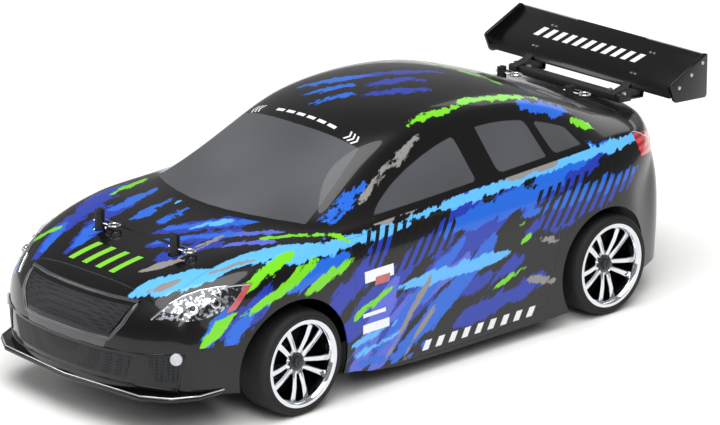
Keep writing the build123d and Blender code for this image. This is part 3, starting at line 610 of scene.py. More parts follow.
def build_body_shell():
    """Smooth the cage, give it a wall, cut the arches and post holes, and store the paint fields."""
    skin_mesh = smooth_skin_mm()
    bm = bmesh.new()
    bm.from_mesh(skin_mesh)
    bmesh.ops.scale(bm, vec=(MM, MM, MM), verts=bm.verts)
    shell = temporary("shell", bm)
    wall = shell.modifiers.new("Wall", "SOLIDIFY")
    wall.thickness = bpy.context.scene.touring_car.shell_thickness
    wall.offset = -1
    wall.use_even_offset = True
    cut = shell.modifiers.new("Arches", "BOOLEAN")
    cut.operation = "DIFFERENCE"
    cut.solver = "EXACT"
    cut.object = arch_cutters()
    mesh = applied(shell)
    bpy.data.objects.remove(cut.object)
    bpy.data.objects.remove(shell)
    mesh.name = "body_shell_skin"
    mesh.materials.clear()
    mesh.materials.append(bpy.data.materials["Painted polycarbonate"])
    mesh.shade_smooth()
    mesh.set_sharp_from_angle(angle=math.radians(38))
    points = [v.co / MM for v in mesh.vertices]
    normals = [v.normal.copy() for v in mesh.vertices]
    for name, sweeps in SWEEPS.items():
        store(mesh, name, signed_field(points, normals, strokes_of(sweeps), True))
    for name, panels in PANELS.items():
        store(mesh, name, panel_field(points, normals, panels))
    piece = bpy.data.objects.new("painted_shell", mesh)
    bpy.context.scene.collection.objects.link(piece)
    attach(piece, "shell")
    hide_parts("body_shell")
    return piece


_skin = {}


def smooth_skin_mm():
    """The outer skin, made once and shared by the pieces that lie on it."""
    if "mesh" not in _skin:
        _skin["mesh"] = smooth_skin()
        bm = bmesh.new()
        bm.from_mesh(_skin["mesh"])
        _skin["tree"] = BVHTree.FromBMesh(bm)
        bm.free()
    return _skin["mesh"]


def on_skin(point, direction):
    """Hit point and normal where a line from outside meets the skin."""
    smooth_skin_mm()
    direction = Vector(direction).normalized()
    place, normal = _skin["tree"].ray_cast(Vector(point) - direction * PROBE_START, direction)[:2]
    if place is None:
        place, normal = _skin["tree"].find_nearest(Vector(point))[:2]
    if normal.dot(direction) > 0:
        normal = -normal
    return place, normal


def add_patch(bm, outline, axis, level, direction, lift, depth, cell=3.0, turn=0.0):
    """Patch that follows the skin: an outline laid on the skin, raised by lift, with edges depth deep."""
    part = bmesh.new()
    swing = Matrix.Rotation(math.radians(turn), 4, "Z")
    direction = swing @ Vector(direction)

    def place(pair):
        values = list(pair)
        values.insert("xyz".index(axis), level)
        return values
    part.faces.new([part.verts.new(place(p)) for p in outline])
    for k in range(2):
        low = min(p[k] for p in outline)
        high = max(p[k] for p in outline)
        normal = Vector(place((1, 0) if k == 0 else (0, 1))) - Vector(place((0, 0)))
        steps = int((high - low) / cell)
        for i in range(1, steps + 1):
            level_k = low + (high - low) * i / (steps + 1)
            spot = Vector(place((level_k, 0) if k == 0 else (0, level_k)))
            bmesh.ops.bisect_plane(part, geom=part.verts[:] + part.edges[:] + part.faces[:], plane_co=spot,
                                   plane_no=normal)
    bmesh.ops.triangulate(part, faces=[f for f in part.faces if len(f.verts) > 4])
    part.transform(swing)
    fronts = {}
    for v in part.verts:
        spot, normal = on_skin(v.co, direction)
        fronts[v] = (spot + normal * lift, normal)
    for v, (spot, normal) in fronts.items():
        v.co = spot
    top = part.faces[:]
    rim_normals = {v: normal for v, (spot, normal) in fronts.items()}
    edges = [e for e in part.edges if e.is_boundary]
    made = bmesh.ops.extrude_edge_only(part, edges=edges)["geom"]
    for v in made:
        if isinstance(v, bmesh.types.BMVert):
            nearest = min(rim_normals, key=lambda w: (w.co - v.co).length_squared)
            v.co = v.co - rim_normals[nearest] * depth
    bmesh.ops.recalc_face_normals(part, faces=part.faces)
    lead = top[0]
    if lead.normal.dot(Vector(direction)) > 0:
        bmesh.ops.reverse_faces(part, faces=part.faces)
    merge(bm, part)


# ---- materials --------------------------------------------------------------

def patch_piece(name, material, outlines, axis, level, direction, lift, depth, **options):
    """One piece on the shell, made of patches laid the same way."""
    bm = bmesh.new()
    for outline in outlines:
        add_patch(bm, outline, axis, level, direction, lift, depth, **options)
    finished(name, bm, material, "shell")


def both_sides(*outlines):
    """Each outline on the right and then on the left, by mirroring its first coordinate."""
    return [[(side * a, b) for a, b in outline] for side in (-1, 1) for outline in outlines]


def ramp_mask(tree, value, low, high):
    """0 below low, 1 above high."""
    made = add_node(tree, "ShaderNodeMapRange", {"Value": value, "From Min": low, "From Max": high})
    return made.outputs["Result"]


def layered(tree, below, hex_colour, mask):
    """Paint one colour over what is below, where the mask is 1."""
    made = add_node(tree, "ShaderNodeMix", {0: mask}, data_type="RGBA")
    first, second = [s for s in made.inputs if s.type == "RGBA"]
    tree.links.new(below, first)
    second.default_value = linear(hex_colour)
    return [s for s in made.outputs if s.type == "RGBA"][0]


def field_mask(tree, name, noise=None, reach=0.0, soft=0.3, inner=0.0):
    """Mask that is 1 inside a stored field, with an edge torn by noise over reach mm."""
    value = add_node(tree, "ShaderNodeAttribute", attribute_name=name).outputs["Fac"]
    if noise is not None:
        spread = add_node(tree, "ShaderNodeMath", {0: noise, 1: 0.5}, operation="SUBTRACT")
        torn = add_node(tree, "ShaderNodeMath", {0: spread.outputs[0], 1: reach}, operation="MULTIPLY")
        value = add_node(tree, "ShaderNodeMath", {0: value, 1: torn.outputs[0]}, operation="ADD").outputs[0]
    inside = add_node(tree, "ShaderNodeMapRange", {"Value": value, "From Min": inner - soft,
                                                   "From Max": inner + soft, "To Min": 1.0, "To Max": 0.0})
    return inside.outputs["Result"]


def grained(name, hex_colour, roughness, size_mm, low, high, bump=0.0, rough=None, stretch=(1, 1, 1),
            **principled):
    """Material of one substance, whose only pattern is its grain."""
    _, tree, shader = new_material(name, hex_colour, roughness, **principled)
    grain(tree, shader, size_mm, low, high, bump, rough, stretch)


def two_tone(tree, factor, low, high):
    """Mix two colours, each a hex string or a socket, by a factor."""
    mix = add_node(tree, "ShaderNodeMix", {0: factor}, data_type="RGBA")
    for socket, colour in zip([s for s in mix.inputs if s.type == "RGBA"], (low, high)):
        if isinstance(colour, str):
            socket.default_value = linear(colour)
        else:
            tree.links.new(colour, socket)
    return [s for s in mix.outputs if s.type == "RGBA"][0]


def painted_polycarbonate():
    """Clear polycarbonate painted on the inside through stencils, then covered with decals.

    The colour sits under a clear gloss skin, so the strokes have torn edges but the surface stays smooth.
    """
    _, tree, shader = new_material("Painted polycarbonate", "#030304", 0.32, Coat_Weight=0.55,
                                          Coat_Roughness=0.04, Specular_IOR_Level=0.2)
    place = add_node(tree, "ShaderNodeTexCoord").outputs["Object"]
    turned = add_node(tree, "ShaderNodeMapping", {"Vector": place, "Rotation": (math.radians(-38), 0, 0)})
    drawn = add_node(tree, "ShaderNodeMapping", {"Vector": turned.outputs["Vector"], "Scale": (1, 0.2, 1)})
    streak = add_node(tree, "ShaderNodeTexNoise", {"Vector": drawn.outputs["Vector"], "Scale": 300.0,
                                                   "Detail": 4.0, "Roughness": 0.7})
    coarse = add_node(tree, "ShaderNodeTexNoise", {"Vector": drawn.outputs["Vector"], "Scale": 110.0,
                                                   "Detail": 2.0, "Roughness": 0.5})
    both = add_node(tree, "ShaderNodeMath", {0: streak.outputs["Fac"], 1: coarse.outputs["Fac"]},
                    operation="ADD")
    noise = add_node(tree, "ShaderNodeMath", {0: both.outputs[0], 1: 0.5}, operation="MULTIPLY").outputs[0]
    ink = add_node(tree, "ShaderNodeRGB")
    ink.outputs[0].default_value = linear("#020203")
    colour = ink.outputs[0]
    for name, hex_colour, reach in LIVERY_LAYERS:
        colour = layered(tree, colour, hex_colour, field_mask(tree, name, noise, reach))
    bars = add_node(tree, "ShaderNodeTexWave", {"Vector": add_node(tree, "ShaderNodeMapping", {
        "Vector": place, "Rotation": (math.radians(38), 0, 0)}).outputs["Vector"], "Scale": 55.0},
        wave_type="BANDS", bands_direction="Y", wave_profile="SIN")
    cut = add_node(tree, "ShaderNodeMath", {0: ramp_mask(tree, bars.outputs["Fac"], 0.55, 0.62),
                                            1: field_mask(tree, "hatch")}, operation="MULTIPLY")
    colour = layered(tree, colour, "#08080c", cut.outputs[0])
    for name, hex_colour in PANEL_LAYERS:
        colour = layered(tree, colour, hex_colour, field_mask(tree, name, soft=0.2))
    glass = field_mask(tree, "glass", soft=0.25)
    # Smoked grey of the windows, made lighter and darker in broad patches by noise: the grey is the tint, and
    # the lighter patches are painted reflection on the glass.
    glass_reflection_noise = add_node(tree, "ShaderNodeTexNoise", {"Vector": place, "Scale": 16.0, "Detail": 0.5})
    glass_tint_and_reflection = two_tone(tree, glass_reflection_noise.outputs["Fac"], "#35363a", "#606267")
    tree.links.new(two_tone(tree, glass, colour, glass_tint_and_reflection), shader.inputs["Base Color"])
    rough = add_node(tree, "ShaderNodeMapRange", {"Value": glass, "To Min": 0.3, "To Max": 0.5})
    tree.links.new(rough.outputs["Result"], shader.inputs["Roughness"])
    coat = add_node(tree, "ShaderNodeMapRange", {"Value": glass, "To Min": 0.55, "To Max": 0.4})
    tree.links.new(coat.outputs["Result"], shader.inputs["Coat Weight"])
    seam = add_node(tree, "ShaderNodeAttribute", attribute_name="seams").outputs["Fac"]
    away = add_node(tree, "ShaderNodeMath", {0: seam}, operation="ABSOLUTE").outputs[0]
    groove = add_node(tree, "ShaderNodeMapRange", {"Value": away, "From Min": 0.15, "From Max": 0.7})
    dent = add_node(tree, "ShaderNodeBump", {"Height": groove.outputs["Result"], "Strength": 0.8,
                                             "Distance": 0.5 * MM})
    tree.links.new(dent.outputs["Normal"], shader.inputs["Normal"])


def make_materials():
    """Every finish of the car and its stage, with how each is made."""
    painted_polycarbonate()
    # Injection-moulded black ABS, polished in the tool: broad soft reflections with a faint orange peel
    grained("Gloss black ABS", "#070708", 0.22, 6, "#050506", "#0a0a0c", bump=0.02, rough=(0.2, 0.3),
            Coat_Weight=0.35, Coat_Roughness=0.08, Specular_IOR_Level=0.25)
    # Glass-filled nylon, moulded in an etched tool: dull black with a fine grain
    grained("Moulded black nylon", "#17171a", 0.6, 0.8, "#121214", "#1e1e21", bump=0.05, rough=(0.5, 0.72))
    # Cut polyethylene foam: tiny open cells, no reflection at all
    grained("Bumper foam", "#1c1c1e", 0.95, 1.2, "#131315", "#29292c", bump=0.25, rough=(0.88, 1.0))
    # Centreless-ground steel rod: fine marks round the rod that stretch its highlight
    grained("Ground steel", "#b4b6ba", 0.3, 0.6, "#a6a8ac", "#c2c4c8", rough=(0.22, 0.38),
            stretch=(1, 0.2, 1), metallic=1.0)
    # Moulded servo case, lightly spark-eroded: an even grey-black sheen
    grained("Servo case plastic", "#17181a", 0.45, 0.5, "#141517", "#1d1e21", bump=0.02, rough=(0.4, 0.5))
    # Heat-shrunk PVC sleeve round the cells: glossy and slightly wavy
    grained("Battery shrink wrap", "#1d4f9e", 0.25, 14, "#194789", "#2259ad", bump=0.15, rough=(0.2, 0.35),
            Coat_Weight=0.6)
    # Deep-drawn steel can, zinc plated: cloudy satin metal
    grained("Plated motor can", "#a8acb2", 0.35, 5, "#989ca2", "#b8bcc2", rough=(0.28, 0.45), metallic=1.0)
    # Anodised aluminium and plastic controller case: flat dark grey
    grained("Controller case", "#222428", 0.5, 0.7, "#1d1f23", "#292b30", bump=0.03, rough=(0.45, 0.6))
    # Unfilled white nylon gear: light passes a little way in, with a waxy surface
    _, tree, shader = new_material("White gear nylon", "#e6e2d4", 0.4, Subsurface_Weight=0.1)
    shader.inputs["Subsurface Radius"].default_value = (0.002, 0.0015, 0.001)
    grain(tree, shader, 3, "#ddd8c8", "#ece8dc", rough=(0.35, 0.5))
    # Hobbed and hardened steel pinion with a straw tint from tempering
    grained("Hardened pinion steel", "#c2b48a", 0.3, 1, "#b3a47c", "#cdbf98", rough=(0.24, 0.4), metallic=1.0)
    # Drawn spring wire, nickel plated: a thin bright line of highlight
    grained("Plated spring wire", "#d9dadc", 0.14, 0.5, "#cccdd0", "#e6e7e9", rough=(0.1, 0.2), metallic=1.0)
    # Moulded acetal damper body, turned smooth
    grained("Damper acetal", "#26272a", 0.3, 2, "#212225", "#2d2e32", rough=(0.25, 0.38))
    # Vacuum-metallised chrome on ABS: mirror bright with a slight waviness from the moulding
    grained("Chromed ABS", "#dcdee2", 0.07, 9, "#d2d4d8", "#e6e8ec", bump=0.02, rough=(0.05, 0.11),
            metallic=1.0)
    # Moulded slick rubber: matt with a faint bloom and mould grain
    grained("Tyre rubber", "#161618", 0.75, 0.9, "#0a0a0b", "#121214", bump=0.06, rough=(0.65, 0.85))
    # Oil-tempered coil spring steel, painted black
    grained("Coated coil spring", "#2b2c30", 0.35, 1.5, "#242529", "#34353a", rough=(0.3, 0.42))
    # Moulded grille backing, satin with small holes in staggered rows
    _, tree, shader = new_material("Pierced grille mesh", "#1a1b1d", 0.5, Specular_IOR_Level=0.25)
    place = add_node(tree, "ShaderNodeTexCoord").outputs["Object"]
    cells = add_node(tree, "ShaderNodeTexVoronoi", {"Vector": place, "Scale": 520.0, "Randomness": 0.15},
                     feature="DISTANCE_TO_EDGE")
    wire = ramp_mask(tree, cells.outputs["Distance"], 0.16, 0.24)
    tree.links.new(two_tone(tree, wire, "#26272a", "#020203"), shader.inputs["Base Color"])
    # Satin grey paint behind the clear body, used as a frame line
    grained("Grey frame paint", "#34363a", 0.35, 8, "#2e3034", "#3d3f44", rough=(0.3, 0.4), Coat_Weight=0.6,
            Coat_Roughness=0.05)
    # Silver line paint behind gloss, as on a stuck-on trim line; along the splitter's edge it is a painted
    # highlight
    grained("Silver trim line", "#cfd2d6", 0.22, 3, "#c4c7cb", "#dadde1", rough=(0.18, 0.28), metallic=0.7,
            Coat_Weight=1.0)
    # Formed clear lamp cover with bright reflector print behind it
    _, tree, shader = new_material("Lamp reflector", "#c8ccd2", 0.16, metallic=0.8, Coat_Weight=1.0)
    place = add_node(tree, "ShaderNodeTexCoord").outputs["Object"]
    flutes = add_node(tree, "ShaderNodeTexNoise", {"Vector": place, "Scale": 420.0, "Detail": 2.0})
    bright = two_tone(tree, ramp_mask(tree, flutes.outputs["Fac"], 0.49, 0.6), "#2a2c31", "#b9bec6")
    tree.links.new(bright, shader.inputs["Base Color"])
    # Frosted round lamp: thin moulded white cover with a soft glow of scatter
    grained("Frosted lamp cover", "#b9bcc2", 0.3, 2, "#a2a5ab", "#d0d3d8", rough=(0.25, 0.4), Coat_Weight=1.0)
    # Red tail lamp, moulded with vertical ribs: alternating deep and bright red
    _, tree, shader = new_material("Ribbed red lens", "#c31421", 0.18, Coat_Weight=1.0, Coat_Roughness=0.03)
    place = add_node(tree, "ShaderNodeTexCoord").outputs["Object"]
    ribs = add_node(tree, "ShaderNodeTexWave", {"Vector": place, "Scale": 75.0, "Distortion": 0.4},
                    wave_type="BANDS", bands_direction="Z")
    tree.links.new(two_tone(tree, ribs.outputs["Fac"], "#7d0a12", "#ee3a3f"), shader.inputs["Base Color"])
    # Rose-tinted side marker beside the headlight
    grained("Side marker lens", "#b0343a", 0.2, 4, "#8c2027", "#d0686a", rough=(0.15, 0.25), Coat_Weight=1.0)
    # Printed decal film, white ink under gloss
    grained("White decal film", "#e9eaec", 0.3, 5, "#e0e1e4", "#f2f3f5", rough=(0.25, 0.35), Coat_Weight=0.8)
    # Printed decal film in lime ink
    grained("Lime decal film", "#7ed321", 0.3, 5, "#74c61c", "#88dc2c", rough=(0.25, 0.35), Coat_Weight=0.8)
    # Pale studio floor paper
    grained("Studio paper", "#f4f4f2", 0.9, 40, "#f1f1ef", "#f6f6f5")


# ---- pieces on the shell ----------------------------------------------------

# Splitter plate seen from above, from the right corner round the nose to the left, then back
SPLITTER = ((-85, -182), (-84, -200), (-76, -215), (-60, -225), (0, -230.6), (60, -225), (76, -215), (84, -200),
            (85, -182), (79, -182), (70, -208), (0, -222), (-70, -208), (-79, -182))
# Headlight outline on a plane turned outward by the headlight turn: distance along it, then height
LAMP_TIP = (-135.0, 71.0)
LAMP_HEEL = (-77.0, 87.0)
LAMP_ABOVE = 7.0
LAMP_BELOW = 8.5
LAMP_STEPS = 6


def almond(tip, heel, above, below, steps):
    """Upper edge from tip to heel, then the fuller lower edge back, as one outline."""
    out = []
    for i in range(2 * steps):
        upper = i <= steps
        t = i / steps if upper else 2 - i / steps
        lift = above * math.sin(math.pi * t ** 0.8) if upper else -below * math.sin(math.pi * t ** 1.4)
        out.append((tip[0] + (heel[0] - tip[0]) * t, tip[1] + (heel[1] - tip[1]) * t + lift))
    return tuple(out)


# Two bowls in each lamp: distance along it, height, bowl radius and bulb radius
LAMP_BOWLS = ((-111, 77.5, 4.2, 2.4), (-97.5, 79.5, 3.8, 2.1))
HEADLIGHT = almond(LAMP_TIP, LAMP_HEEL, LAMP_ABOVE, LAMP_BELOW, LAMP_STEPS)


def lamp_turn():
    """Degrees that the lamps face outward."""
    return math.degrees(bpy.context.scene.touring_car.headlight_turn)


def lamp_outline(outline, side):
    """A lamp outline on one side, with its distances mirrored."""
    return [(side * s, z) for s, z in outline]


def on_lamp(side, s, z):
    """Place and normal on the skin behind a point of the lamp plane."""
    swing = Matrix.Rotation(math.radians(side * lamp_turn()), 4, "Z")
    return on_skin(swing @ Vector((side * s, -100, z)), swing @ Vector((0, 1, 0)))


def build_front_face():
    """Grille, bumper intake, lamp pods, headlights and the splitter."""
    forward = (0, 1, 0)
    grille = ((-44, 76), (44, 76), (41, 67), (36, 60), (-36, 60), (-41, 67))
    patch_piece("grille_mesh", "Pierced grille mesh", (grille,), "y", -200, forward, 0.3, 1.2)
    bm = bmesh.new()
    frame_line = ((-47, 78.5), (47, 78.5), (44, 67), (37, 57), (-37, 57), (-44, 67))
    framed = [on_skin((x, -200, z), forward) for x, z in subdivided(frame_line, 5)]
    tube(bm, [spot - normal * 0.1 for spot, normal in framed], 1.3, closed=True)
    finished("grille_frame", bm, "Grey frame paint", "shell", smooth_deg=80)
    plate = ((-36, 57), (36, 57), (33, 51), (-33, 51))
    patch_piece("number_panel", "Grey frame paint", (plate,), "y", -200, forward, 0.25, 1.0)
    intake = ((-52, 49), (52, 49), (47, 35), (-47, 35))
    patch_piece("lower_intake", "Pierced grille mesh", (intake,), "y", -200, forward, 0.2, 1.0)
    bm = bmesh.new()
    edge = [on_skin((x, -200, z), forward) for x, z in subdivided(
        ((-78, 52), (-56, 51), (56, 51), (78, 52), (74, 30), (50, 31.5), (-50, 31.5), (-74, 30)), 6)]
    tube(bm, [spot - normal * 0.2 for spot, normal in edge], 0.9, closed=True)
    finished("intake_edge", bm, "Gloss black ABS", "shell", smooth_deg=80)
    pods = both_sides(((60, 51), (74, 53), (78, 47), (75, 35), (64, 35)))
    patch_piece("lamp_pods", "Pierced grille mesh", pods, "y", -200, forward, 0.5, 1.5)
    bm = bmesh.new()
    for side in (-1, 1):
        spot, normal = on_skin((side * 74.5, -200, 49.5), forward)
        add_rod(bm, spot - normal * 1, spot + normal * 1.6, 4, end_radius=3.4, bevel=0.6)
    finished("round_lamps", bm, "Frosted lamp cover", "shell")
    bm = bmesh.new()
    for side in (-1, 1):
        add_patch(bm, lamp_outline(HEADLIGHT, side), "y", -100, forward, 0.35, 1.2, cell=2.5,
                  turn=side * lamp_turn())
    finished("headlight_reflectors", bm, "Lamp reflector", "shell")
    bm = bmesh.new()
    for side in (-1, 1):
        brow = [on_lamp(side, s, z) for s, z in subdivided(HEADLIGHT[:LAMP_STEPS + 1], 4, False)]
        tube(bm, [spot + normal * 0.3 for spot, normal in brow], 0.6)
        for s, z, size, _ in LAMP_BOWLS:
            spot, normal = on_lamp(side, s, z)
            add_rod(bm, spot - normal, spot + normal * 1.1, size, end_radius=size * 0.72, bevel=0.4)
    finished("headlight_bowls", bm, "Chromed ABS", "shell")
    bm = bmesh.new()
    for side in (-1, 1):
        for s, z, _, size in LAMP_BOWLS:
            spot, normal = on_lamp(side, s, z)
            add_rod(bm, spot + normal * 0.5, spot + normal * 1.5, size, end_radius=size * 0.6, bevel=0.3)
    finished("headlight_bulbs", bm, "Gloss black ABS", "shell")
    bm = bmesh.new()
    for side in (-1, 1):
        marker = lamp_outline(((-92, 73), (-86, 74), (-75.5, 87.5), (-79.5, 87.3)), side)
        add_patch(bm, marker, "y", -100, forward, 0.5, 1.2, cell=2.5, turn=side * lamp_turn())
    finished("side_markers", bm, "Side marker lens", "shell")
    bm = bmesh.new()
    add_prism(bm, SPLITTER, "z", 24.6, 27.2, bevel=0.9)
    finished("splitter", bm, "Gloss black ABS", "shell", smooth_deg=60)
    # Silver line along the splitter's front edge: a painted highlight where the edge catches the light.
    bm = bmesh.new()
    edge = [(x, y + 1.1, 27.4) for x, y in subdivided(SPLITTER[:9], 4, closed=False)]
    tube(bm, edge, 0.45)
    finished("splitter_edge_highlight", bm, "Silver trim line", "shell", smooth_deg=80)


def subdivided(points, steps, closed=True):
    """More points along straight runs between the given ones."""
    ends = points[1:] + points[:1] if closed else points[1:]
    out = []
    for one, two in zip(points, ends):
        for i in range(steps):
            t = i / steps
            out.append(tuple(a + (b - a) * t for a, b in zip(one, two)))
    return out if closed else out + [points[-1]]


def build_hood_trim():
    """Painted shade strip at the hood scoop's front edge, plain racing slashes on the hood, and the bars of the
    windscreen banner.
    """
    down = (0, 0, -1)
    # Thin black strip of painted shade: it stands for the shadow along the front edge of the hood scoop, whose
    # shape is not modelled.
    scoop_shadow = ((-36, -163.5), (20, -165.5), (20, -162.8), (-36, -160.8))
    patch_piece("hood_scoop_shadow", "Gloss black ABS", (scoop_shadow,), "z", 120, down, 0.3, 1.0)
    slashes = [((x, -203), (x + 4.5, -203), (x + 9.5, -184), (x + 5, -184)) for x in range(-26, 22, 12)]
    patch_piece("hood_slashes", "Lime decal film", slashes, "z", 120, down, 0.12, 0.3)
    bm = bmesh.new()
    for i in range(6):
        x = -24 + i * 9
        add_patch(bm, ((x, -39), (x + 6.5, -39), (x + 6.5, -36.6), (x, -36.6)), "z", 160, down, 0.12, 0.3)
    for side in (-1, 1):
        for i in range(3):
            x = side * (37 + i * 3)
            add_patch(bm, ((x, -41), (x + side * 1.2, -41), (x + side * 3, -37.5), (x + side * 1.2, -34),
                           (x, -34), (x + side * 1.8, -37.5)), "z", 160, down, 0.12, 0.3, cell=2)
    finished("banner_bars", bm, "White decal film", "shell")


def build_side_trim():
    """Sill slashes and plain decal blocks on both sides."""
    bm = bmesh.new()
    for side in (-1, 1):
        for i in range(9):
            y = -28 + i * 11
            bar = ((y, 15), (y + 5, 15), (y + 8, 21), (y + 3, 21))
            add_patch(bm, bar, "x", side * 95, (-side, 0, 0), 0.12, 0.3)
        for y, z, wide, tall in ((-76, 69, 24, 7), (-78, 48, 19, 2.4), (-78, 38, 22, 5.5)):
            block = ((y, z), (y + wide, z), (y + wide, z + tall), (y, z + tall))
            add_patch(bm, block, "x", side * 95, (-side, 0, 0), 0.12, 0.3)
    finished("side_decals", bm, "White decal film", "shell")
    bm = bmesh.new()
    block = ((-68, 66), (-56, 66), (-55, 71), (-67, 71))
    for side in (-1, 1):
        add_patch(bm, block, "x", side * 95, (-side, 0, 0), 0.25, 0.4)
    finished("red_decal_block", bm, "Side marker lens", "shell")


def build_tail():
    """Ribbed tail lamps with a chrome line above, and the diffuser."""
    bm = bmesh.new()
    for side in (-1, 1):
        lamp = ((165, 107), (180, 105), (191, 100), (192, 91), (166, 94))
        add_patch(bm, lamp, "x", side * 95, (-side, 0, 0), 0.4, 1.2)
    finished("tail_lamps", bm, "Ribbed red lens", "shell")
    bm = bmesh.new()
    for side in (-1, 1):
        line = [on_skin((side * x, y, 130), (0, 0, -1)) for x, y in subdivided(
            ((79, 166), (78.5, 176), (75, 186), (66, 195), (48, 203), (26, 208)), 4, closed=False)]
        tube(bm, [spot + normal * 0.1 for spot, normal in line], 0.5)
    finished("boot_lid_line", bm, "Silver trim line", "shell", smooth_deg=80)
    diffuser = ((-58, 44), (58, 44), (52, 26), (-52, 26))
    patch_piece("rear_diffuser", "Pierced grille mesh", (diffuser,), "y", 200, (0, -1, 0), 0.3, 1.0)


# ---- wing and stands --------------------------------------------------------

WING_BLADE = ((198.5, 122.5), (200, 126), (204, 130), (210, 134), (217, 137.5), (225, 141.5), (231, 145.5),
              (231, 143), (225, 138.5), (217, 134), (211, 129.5), (206, 125.5), (202, 122.8))
WING_PLATE = ((196.5, 131), (198, 132.7), (229, 146.4), (231, 145.8), (231, 119), (229.5, 117.6),
              (202.5, 119.4), (200.8, 121))
STAND_OUTLINE = ((184, 117.5), (184, 121), (190, 122), (196, 123.5), (202, 127), (207, 130), (217, 133.2),
                 (226, 139), (226, 136.8), (220, 131.5), (214.5, 124), (212, 119), (211, 113.8), (203, 114.4),
                 (196, 115.2))


def build_wing():
    """Blade with its end plates, bright edge, slashes and screws."""
    bm = bmesh.new()
    add_prism(bm, WING_BLADE, "x", -80, 80, bevel=0.35)
    for side in (-1, 1):
        low, high = sorted((side * 79.6, side * 82))
        add_prism(bm, WING_PLATE, "x", low, high, bevel=0.6)
    wing = finished("wing", bm, "Gloss black ABS", "shell")
    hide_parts("rear_wing")
    bm = bmesh.new()
    for side in (-1, 1):
        for y, z in ((205, 128.8), (216, 135), (226, 141)):
            add_rod(bm, (side * 81.8, y, z), (side * 82.45, y, z), 1.3, bevel=0.2)
        for y in (204.5, 222):
            z = 130 + (y - 204) * 0.56
            for dx in (-1.6, 1.6):
                x = side * 43 + dx
                add_rod(bm, (x, y, z - 0.6), (x, y, z + 0.5), 1.0, bevel=0.2)
    finished("wing_screws", bm, "Ground steel", "shell")
    bm = bmesh.new()
    for side in (-1, 1):
        line = ((230.2, 143.6), (230.9, 143.6), (230.9, 145.4), (230.2, 145.1))
        add_prism(bm, line, "x", *sorted((side * 30, side * 79)))
    finished("wing_edge_line", bm, "Silver trim line", "shell")
    bm = bmesh.new()
    for i in range(11):
        x = -52 + i * 8.5
        outline = ((x, 211.5), (x + 4.5, 211.5), (x + 7.5, 219), (x + 3, 219))
        corners = [bm.verts.new((a, b, 134.75 + (b - 211.5) * 0.52)) for a, b in outline]
        bm.faces.new(corners)
    finished("wing_slashes", bm, "White decal film", "shell", normals=False)


def build_stands():
    """Two stands on a base bar, with their screws."""
    bm = bmesh.new()
    for side in (-1, 1):
        low, high = sorted((side * 40, side * 46))
        add_prism(bm, STAND_OUTLINE, "x", low + 1.6, high - 1.6, bevel=0.25)
        for face_low, face_high in ((low, low + 1.6), (high - 1.6, high)):
            rim = rim_of(STAND_OUTLINE, 1.1)
            for quad in rim:
                add_prism(bm, quad, "x", face_low, face_high, bevel=0.15)
    base_bar = ((186, 115.6), (186, 120.4), (188, 121), (196, 119.4), (197, 118.6), (197, 114.8))
    add_prism(bm, base_bar, "x", -49, 49, bevel=0.7)
    stands = finished("stands", bm, "Moulded black nylon", "shell")
    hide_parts("wing_stands")
    bm = bmesh.new()
    for side in (-1, 1):
        for x in (side * 36, side * 47.4):
            add_rod(bm, (x, 191.5, 119.5), (x, 191.3, 121.6), 1.6, bevel=0.3)
    finished("stand_screws", bm, "Ground steel", "shell")


def rim_of(outline, width):
    """Quads along the inside of an outline that make its raised border."""
    quads = []
    ring = [Vector(p) for p in outline]
    area = sum(a.x * b.y - b.x * a.y for a, b in zip(ring, ring[1:] + ring[:1]))
    turn = 1 if area > 0 else -1
    inner = []
    for i, p in enumerate(ring):
        one = (p - ring[i - 1]).normalized()
        two = (ring[(i + 1) % len(ring)] - p).normalized()
        normal = Vector((-(one.y + two.y), one.x + two.x)).normalized() * turn
        inner.append(p + normal * width)
    for i in range(len(ring)):
        k = (i + 1) % len(ring)
        quads.append([tuple(ring[i]), tuple(ring[k]), tuple(inner[k]), tuple(inner[i])])
    return quads


# ---- wheels -----------------------------------------------------------------

AXLES = {"front": -127.0, "rear": 133.0}
SPOKE_PAIRS = 5
SPOKE_BACK = 84.5
SPOKE_FACE = 91.0
SPOKE_DISH = 0.22
HUB_RADIUS = 14.0
RIM = ((26.4, 93.2), (26.9, 94.0), (26.6, 94.8), (25.6, 94.9), (24.2, 94.4), (23.3, 93.2), (22.9, 91),
       (23.2, 89), (25.0, 88.5), (25.8, 90), (26.2, 92))
BARREL = ((25.2, 89), (24.9, 80), (23.6, 72.5), (24.6, 70.2), (25.9, 69.9), (26.3, 70.8), (25.9, 73),
          (26.4, 90))
TYRE = ((26.7, 71), (27.4, 69.8), (28.8, 69.2), (30.2, 69.5), (31.3, 70.4), (31.8, 72), (32, 74.5), (32, 89.5),
        (31.8, 91.8), (31.2, 93.4), (30.2, 94.4), (29.4, 94.7), (29.1, 94.4), (28.7, 94.8), (27.8, 94.9),
        (26.9, 94.3), (26.5, 93.2), (26.5, 82))


def spoke_outline():
    """One spoke of a pair, as (y, z) from the hub down to the rim."""
    return ((0.5, -5.0), (3.4, -4.4), (4.3, -9), (5.6, -16), (7.4, -22.9), (6.4, -24.0), (3.4, -24.6),
            (3.0, -22.6), (2.0, -15), (1.1, -9))


